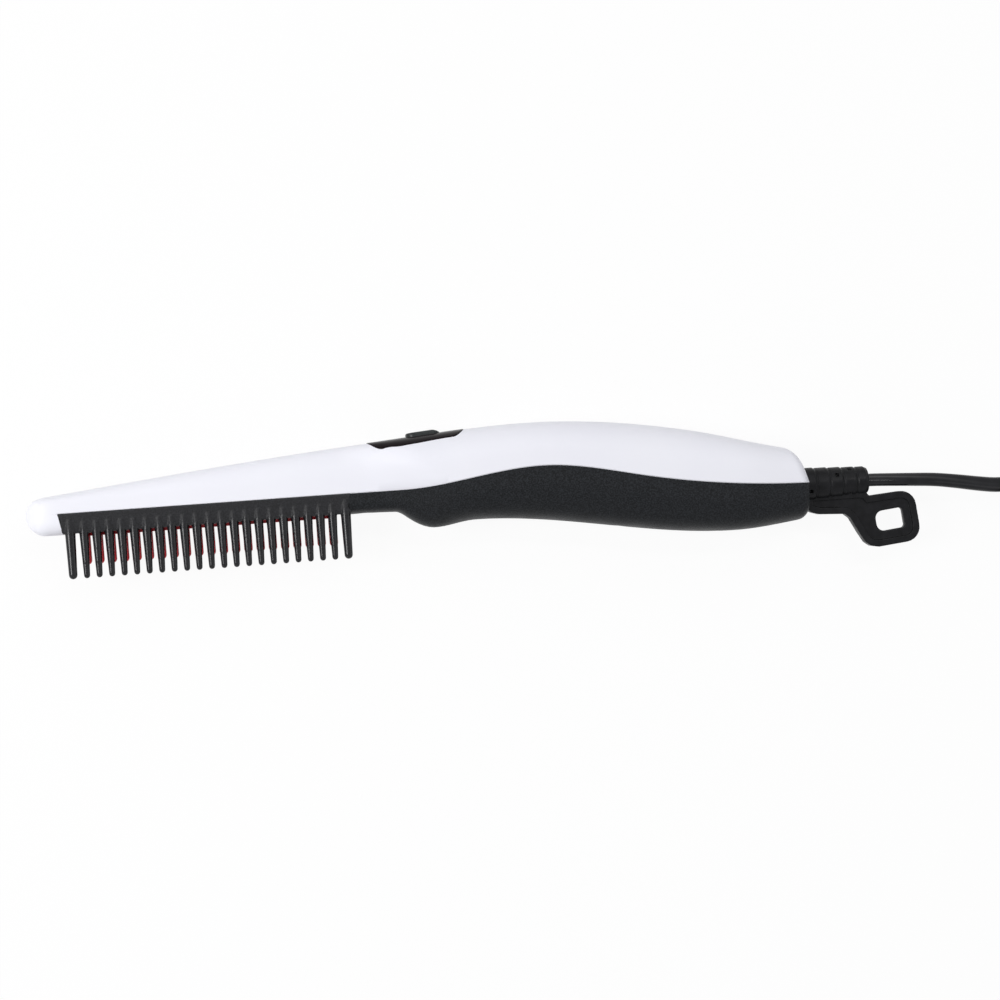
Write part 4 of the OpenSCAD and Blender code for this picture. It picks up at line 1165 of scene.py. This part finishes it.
def build_plug(material):
    rings = []
    for x, wide, high in PLUG_STATIONS:
        bulge = PLUG_POWER + PLUG_POWER_GROWTH * smooth(x / PLUG_POWER_LENGTH)
        rings.append([plug_point(x, wide * power(math.cos(a), 2 / bulge),
                                 high * power(math.sin(a), 2 / bulge)) for a in turn(PLUG_SIDES)])
    body = loft("plug_shell", rings)
    subdivide = body.modifiers.new("round", "SUBSURF")
    subdivide.levels = 1
    apply_modifiers(body)
    plans = [rectangle(x, y, GRIP_WIDTH / 2, GRIP_LENGTH / 2)
             for x in GRIP_X for y in (-GRIP_Y, GRIP_Y)]
    cut(body, *[loft("groove", [[plug_point(x, y, z) for x, y in plan]
                                for z in (-GRIP_HEIGHT / 2, GRIP_HEIGHT / 2)]) for plan in plans])
    shade(body, 35)
    return finish_piece(body, material, "housing", "plug_black", "plug_body")


def build_pins(metal_material, sleeve_material):
    dome = [(PIN_LENGTH + PIN_RADIUS * math.sin(a), PIN_RADIUS * math.cos(a))
            for a in [math.radians(10 * k) for k in range(9)]]
    pin = [(0, PIN_RADIUS), *dome, (PIN_LENGTH + PIN_RADIUS, PIN_TIP_RADIUS)]
    sleeve = [(0, SLEEVE_RADIUS), (SLEEVE_LENGTH - SLEEVE_CHAMFER, SLEEVE_RADIUS),
              (SLEEVE_LENGTH, PIN_RADIUS)]
    pins, sleeves = [], []
    for side in (-1, 1):
        def place(x, a, b, y=side * PIN_SPACING / 2):
            return plug_point(PLUG_LENGTH + x, y + a, b)
        pins.append(lathe("pin", pin, place))
        sleeves.append(lathe("sleeve", sleeve, place))
    pins = join("mains_pins", pins)
    shade(pins, 40)
    finish_piece(pins, metal_material, "housing", "nickel_pin", "plug_pins")
    sleeves = join("pin_sleeves", sleeves)
    shade(sleeves, 40)
    finish_piece(sleeves, sleeve_material, "housing", "plug_black")
    return pins, sleeves


TIE_THICK = 0.75
TIE_CORNER = 3
TIE_EDGE = 0.2


def build_tie(material):
    low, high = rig.box("cord_tie")

    def ring(x, inset):
        """A round-cornered ring at x, the inset inside the tie's box."""
        points = []
        r = TIE_CORNER * MM - inset
        y0, y1 = low[1] + inset + r, high[1] - inset - r
        z0, z1 = low[2] + inset + r, high[2] - inset - r
        for y, z, start in ((y1, z1, 0), (y0, z1, 90), (y0, z0, 180), (y1, z0, 270)):
            for a in [math.radians(start + 15 * k) for k in range(7)]:
                points.append(Vector((x, y + r * math.cos(a), z + r * math.sin(a))))
        return points

    thick = TIE_THICK * MM
    obj = looped("cord_strap", [ring(low[0], 0), ring(high[0], 0),
                                ring(high[0], thick), ring(low[0], thick)])
    bevel_edges(obj, TIE_EDGE, 2)
    shade(obj, 40)
    return finish_piece(obj, material, "housing", "tie_black", "cord_tie")


# Depth under the seat and share of the head's radius
SCREW_HEAD = [(0, 1), (1.0, 1), (1.5, 0.86), (1.8, 0.55)]
RECESS_HALF_LENGTH = 1.25
RECESS_HALF_WIDTH = 0.35
RECESS_FLOOR = 0.9


def build_screws(material):
    """Pan heads with a cross recess, in the wells of the lower shell."""
    heads = []
    for x in BOSS_X:
        seat = belly(x) + HEAD_SEAT
        head = upright("head", x, [(seat - d, SCREW_HEAD_RADIUS * t) for d, t in SCREW_HEAD])
        plans = [rectangle(x, 0, RECESS_HALF_WIDTH, RECESS_HALF_LENGTH),
                 rectangle(x, 0, RECESS_HALF_LENGTH, RECESS_HALF_WIDTH)]
        cut(head, *[loft("slot", [[at(u, y, w) for u, w in plan]
                                  for y in (seat - TOOL_REACH, seat - RECESS_FLOOR)])
                    for plan in plans])
        heads.append(head)
    obj = join("screw_heads", heads)
    shade(obj, 30)
    finish_piece(obj, material, "housing", "zinc_screw", "shell_screws")


# ---- floor, lights and world ---------------------------------------------------------
FLOOR_SIZE = 6.0
FLOOR_DROP = 0.02
FLOOR_GLOW = 0.93
FLOOR_WHITE = 0.92
WORLD_COLOUR = (0.96, 0.97, 1.0)
WORLD_LIGHT = 0.27
# Name, place and aim in the frame in metres, size across and up, power in watts
LAMPS = [("key", (-0.74, 0.05, 0.85), (-0.05, 0, 0), (0.34, 0.5), 6.6),
         ("top", (0.1, 1.3, 1.2), (0, 0, 0), (1.6, 0.8), 4.8),
         ("right", (1.6, -0.2, 0.8), (0, 0, 0), (1.0, 1.4), 2.4),
         ("low", (-0.1, -1.3, 1.2), (0, 0, 0), (1.6, 0.6), 1.5),
         ("strip", (0.25, 0.46, 1.15), (0.15, 0, 0), (0.7, 0.12), 2.6),
         ("edge", (-0.74, -0.62, 0.45), (0.02, 0, 0), (0.16, 0.16), 0.6)]


def background_rays(nodes, links):
    """1 for rays from the camera, off gloss and through clear material, else 0."""
    rays = nodes.new("ShaderNodeLightPath")
    total = rays.outputs["Is Camera Ray"]
    for kind in ("Is Glossy Ray", "Is Transmission Ray"):
        added = nodes.new("ShaderNodeMath")
        added.operation = "ADD"
        added.use_clamp = True
        links.new(total, added.inputs[0])
        links.new(rays.outputs[kind], added.inputs[1])
        total = added.outputs[0]
    return total


def build_floor():
    s, z = FLOOR_SIZE / 2, -FLOOR_DROP * MM
    mesh = bpy.data.meshes.new("floor")
    mesh.from_pydata([(-s, -s, z), (s, -s, z), (s, s, z), (-s, s, z)], [], [(0, 1, 2, 3)])
    floor = bpy.data.objects.new("floor", mesh)
    bpy.context.scene.collection.objects.link(floor)
    material = bpy.data.materials.new("floor_white")
    material.use_nodes = True
    nodes, links = material.node_tree.nodes, material.node_tree.links
    nodes.clear()
    output = nodes.new("ShaderNodeOutputMaterial")
    mix = nodes.new("ShaderNodeMixShader")
    diffuse = nodes.new("ShaderNodeBsdfDiffuse")
    glow = nodes.new("ShaderNodeEmission")
    glow.inputs["Strength"].default_value = 1.0
    seen = nodes.new("ShaderNodeMath")
    seen.operation = "MULTIPLY"
    seen.inputs[1].default_value = FLOOR_GLOW
    links.new(background_rays(nodes, links), seen.inputs[0])
    diffuse.inputs["Color"].default_value = (FLOOR_WHITE, FLOOR_WHITE, FLOOR_WHITE, 1)
    links.new(seen.outputs[0], mix.inputs["Fac"])
    links.new(diffuse.outputs[0], mix.inputs[1])
    links.new(glow.outputs[0], mix.inputs[2])
    links.new(mix.outputs[0], output.inputs["Surface"])
    mesh.materials.append(material)
    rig.stage(floor)


def build_lights():
    for name, place, aim, size, watts in LAMPS:
        data = bpy.data.lights.new(name, "AREA")
        data.energy = watts
        data.shape = "RECTANGLE"
        data.size, data.size_y = size
        light = bpy.data.objects.new(name, data)
        light.location = place
        light.rotation_euler = (Vector(aim) - Vector(place)).to_track_quat("-Z", "Y").to_euler()
        bpy.context.scene.collection.objects.link(light)


def build_world():
    world = bpy.data.worlds.new("studio")
    world.use_nodes = True
    nodes, links = world.node_tree.nodes, world.node_tree.links
    background = nodes["Background"]
    background.inputs["Color"].default_value = (*WORLD_COLOUR, 1)
    level = nodes.new("ShaderNodeMapRange")
    level.inputs["To Min"].default_value = WORLD_LIGHT
    level.inputs["To Max"].default_value = 1.0
    links.new(background_rays(nodes, links), level.inputs["Value"])
    links.new(level.outputs["Result"], background.inputs["Strength"])
    bpy.context.scene.world = world


# ---- the scene -----------------------------------------------------------------------
def dress_cad(materials):
    """Procedural materials on the CAD nodes that stay in the picture."""
    for node, material in materials.items():
        for slot in frame["nodes"][node].material_slots:
            slot.material = material


def main():
    bpy.context.scene.view_settings.view_transform = "Standard"
    add_camera()
    rubber = soft_rubber("soft_rubber", (0.005, 0.005, 0.0056), 0.36, 0.5)
    jacket = cord_jacket()
    plug_rubber = soft_rubber("plug_rubber", (0.008, 0.008, 0.009), 0.38, 0.8)
    cord, path = build_cord(jacket)
    plug = build_plug(plug_rubber)
    nickel = metal("nickel", (0.72, 0.71, 0.68), 0.2)
    pins, sleeves = build_pins(nickel, plug_rubber)
    tie = build_tie(woven_strap())
    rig.cord(cord, exit=path[0], length=CORD_LENGTH, diameter=CORD_WIDTH * MM, far_end="plug",
            stiffness="medium", lay="loose", path=path, with_pieces=[plug, pins, sleeves, tie])

    build_upper_shell(glossy_white())
    build_lower_shell(moulded_black())
    guard = softened("black_guard", "comb_guard", 9, 0.15)
    finish_piece(guard, comb_black(), "housing", "guard_black", "comb_guard")
    relief = softened("ribbed_relief", "strain_relief", 3, 0.09)
    finish_piece(relief, rubber, "swivel", "black_rubber", "strain_relief")
    build_heating_comb(red_anodised())
    build_panel(piano_black())
    build_button(button_grey())
    zinc = metal("zinc", (0.6, 0.6, 0.61), 0.32)
    build_screws(zinc)

    brass = metal("brass", (0.72, 0.5, 0.2), 0.28)
    dark_plastic = inner_plastic("dark_plastic", (0.03, 0.03, 0.032))
    dress_cad({
        "switch_plunger": dark_plastic, "tact_switch": dark_plastic, "triac": dark_plastic,
        "control_chip": dark_plastic, "swivel_barrel": dark_plastic,
        "circuit_board": inner_plastic("board_green", (0.03, 0.16, 0.06), 0.4),
        "film_capacitor": inner_plastic("capacitor_yellow", (0.6, 0.38, 0.05), 0.4),
        "smoothing_capacitor": inner_plastic("capacitor_blue", (0.03, 0.05, 0.16), 0.35),
        "ceramic_heater": inner_plastic("ceramic", (0.72, 0.69, 0.62), 0.7),
        "mica_sheet": inner_plastic("mica", (0.45, 0.37, 0.24), 0.45),
        "heater_clamp": metal("spring_steel", (0.52, 0.52, 0.53), 0.35),
        "clamp_screws": zinc, "board_screws": zinc,
        "temperature_sensor": inner_plastic("sensor_glass", (0.45, 0.16, 0.05), 0.15),
        "thermal_fuse": metal("tinned", (0.65, 0.6, 0.45), 0.3),
        "heater_leads": inner_plastic("silicone_red", (0.4, 0.02, 0.02)),
        "sensor_leads": inner_plastic("silicone_white", (0.75, 0.75, 0.72)),
        "supply_leads": inner_plastic("silicone_blue", (0.03, 0.08, 0.4)),
        "brush_carrier": inner_plastic("nylon_cream", (0.6, 0.55, 0.43)),
        "brush_springs": brass, "slip_rings": brass,
    })
    build_floor()
    build_lights()
    build_world()


main()
with open("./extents.json", "w") as report:
    json.dump({"cad": [list(corner) for corner in cad_bounds],
               "visual": [list(corner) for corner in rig.bounds()]}, report)
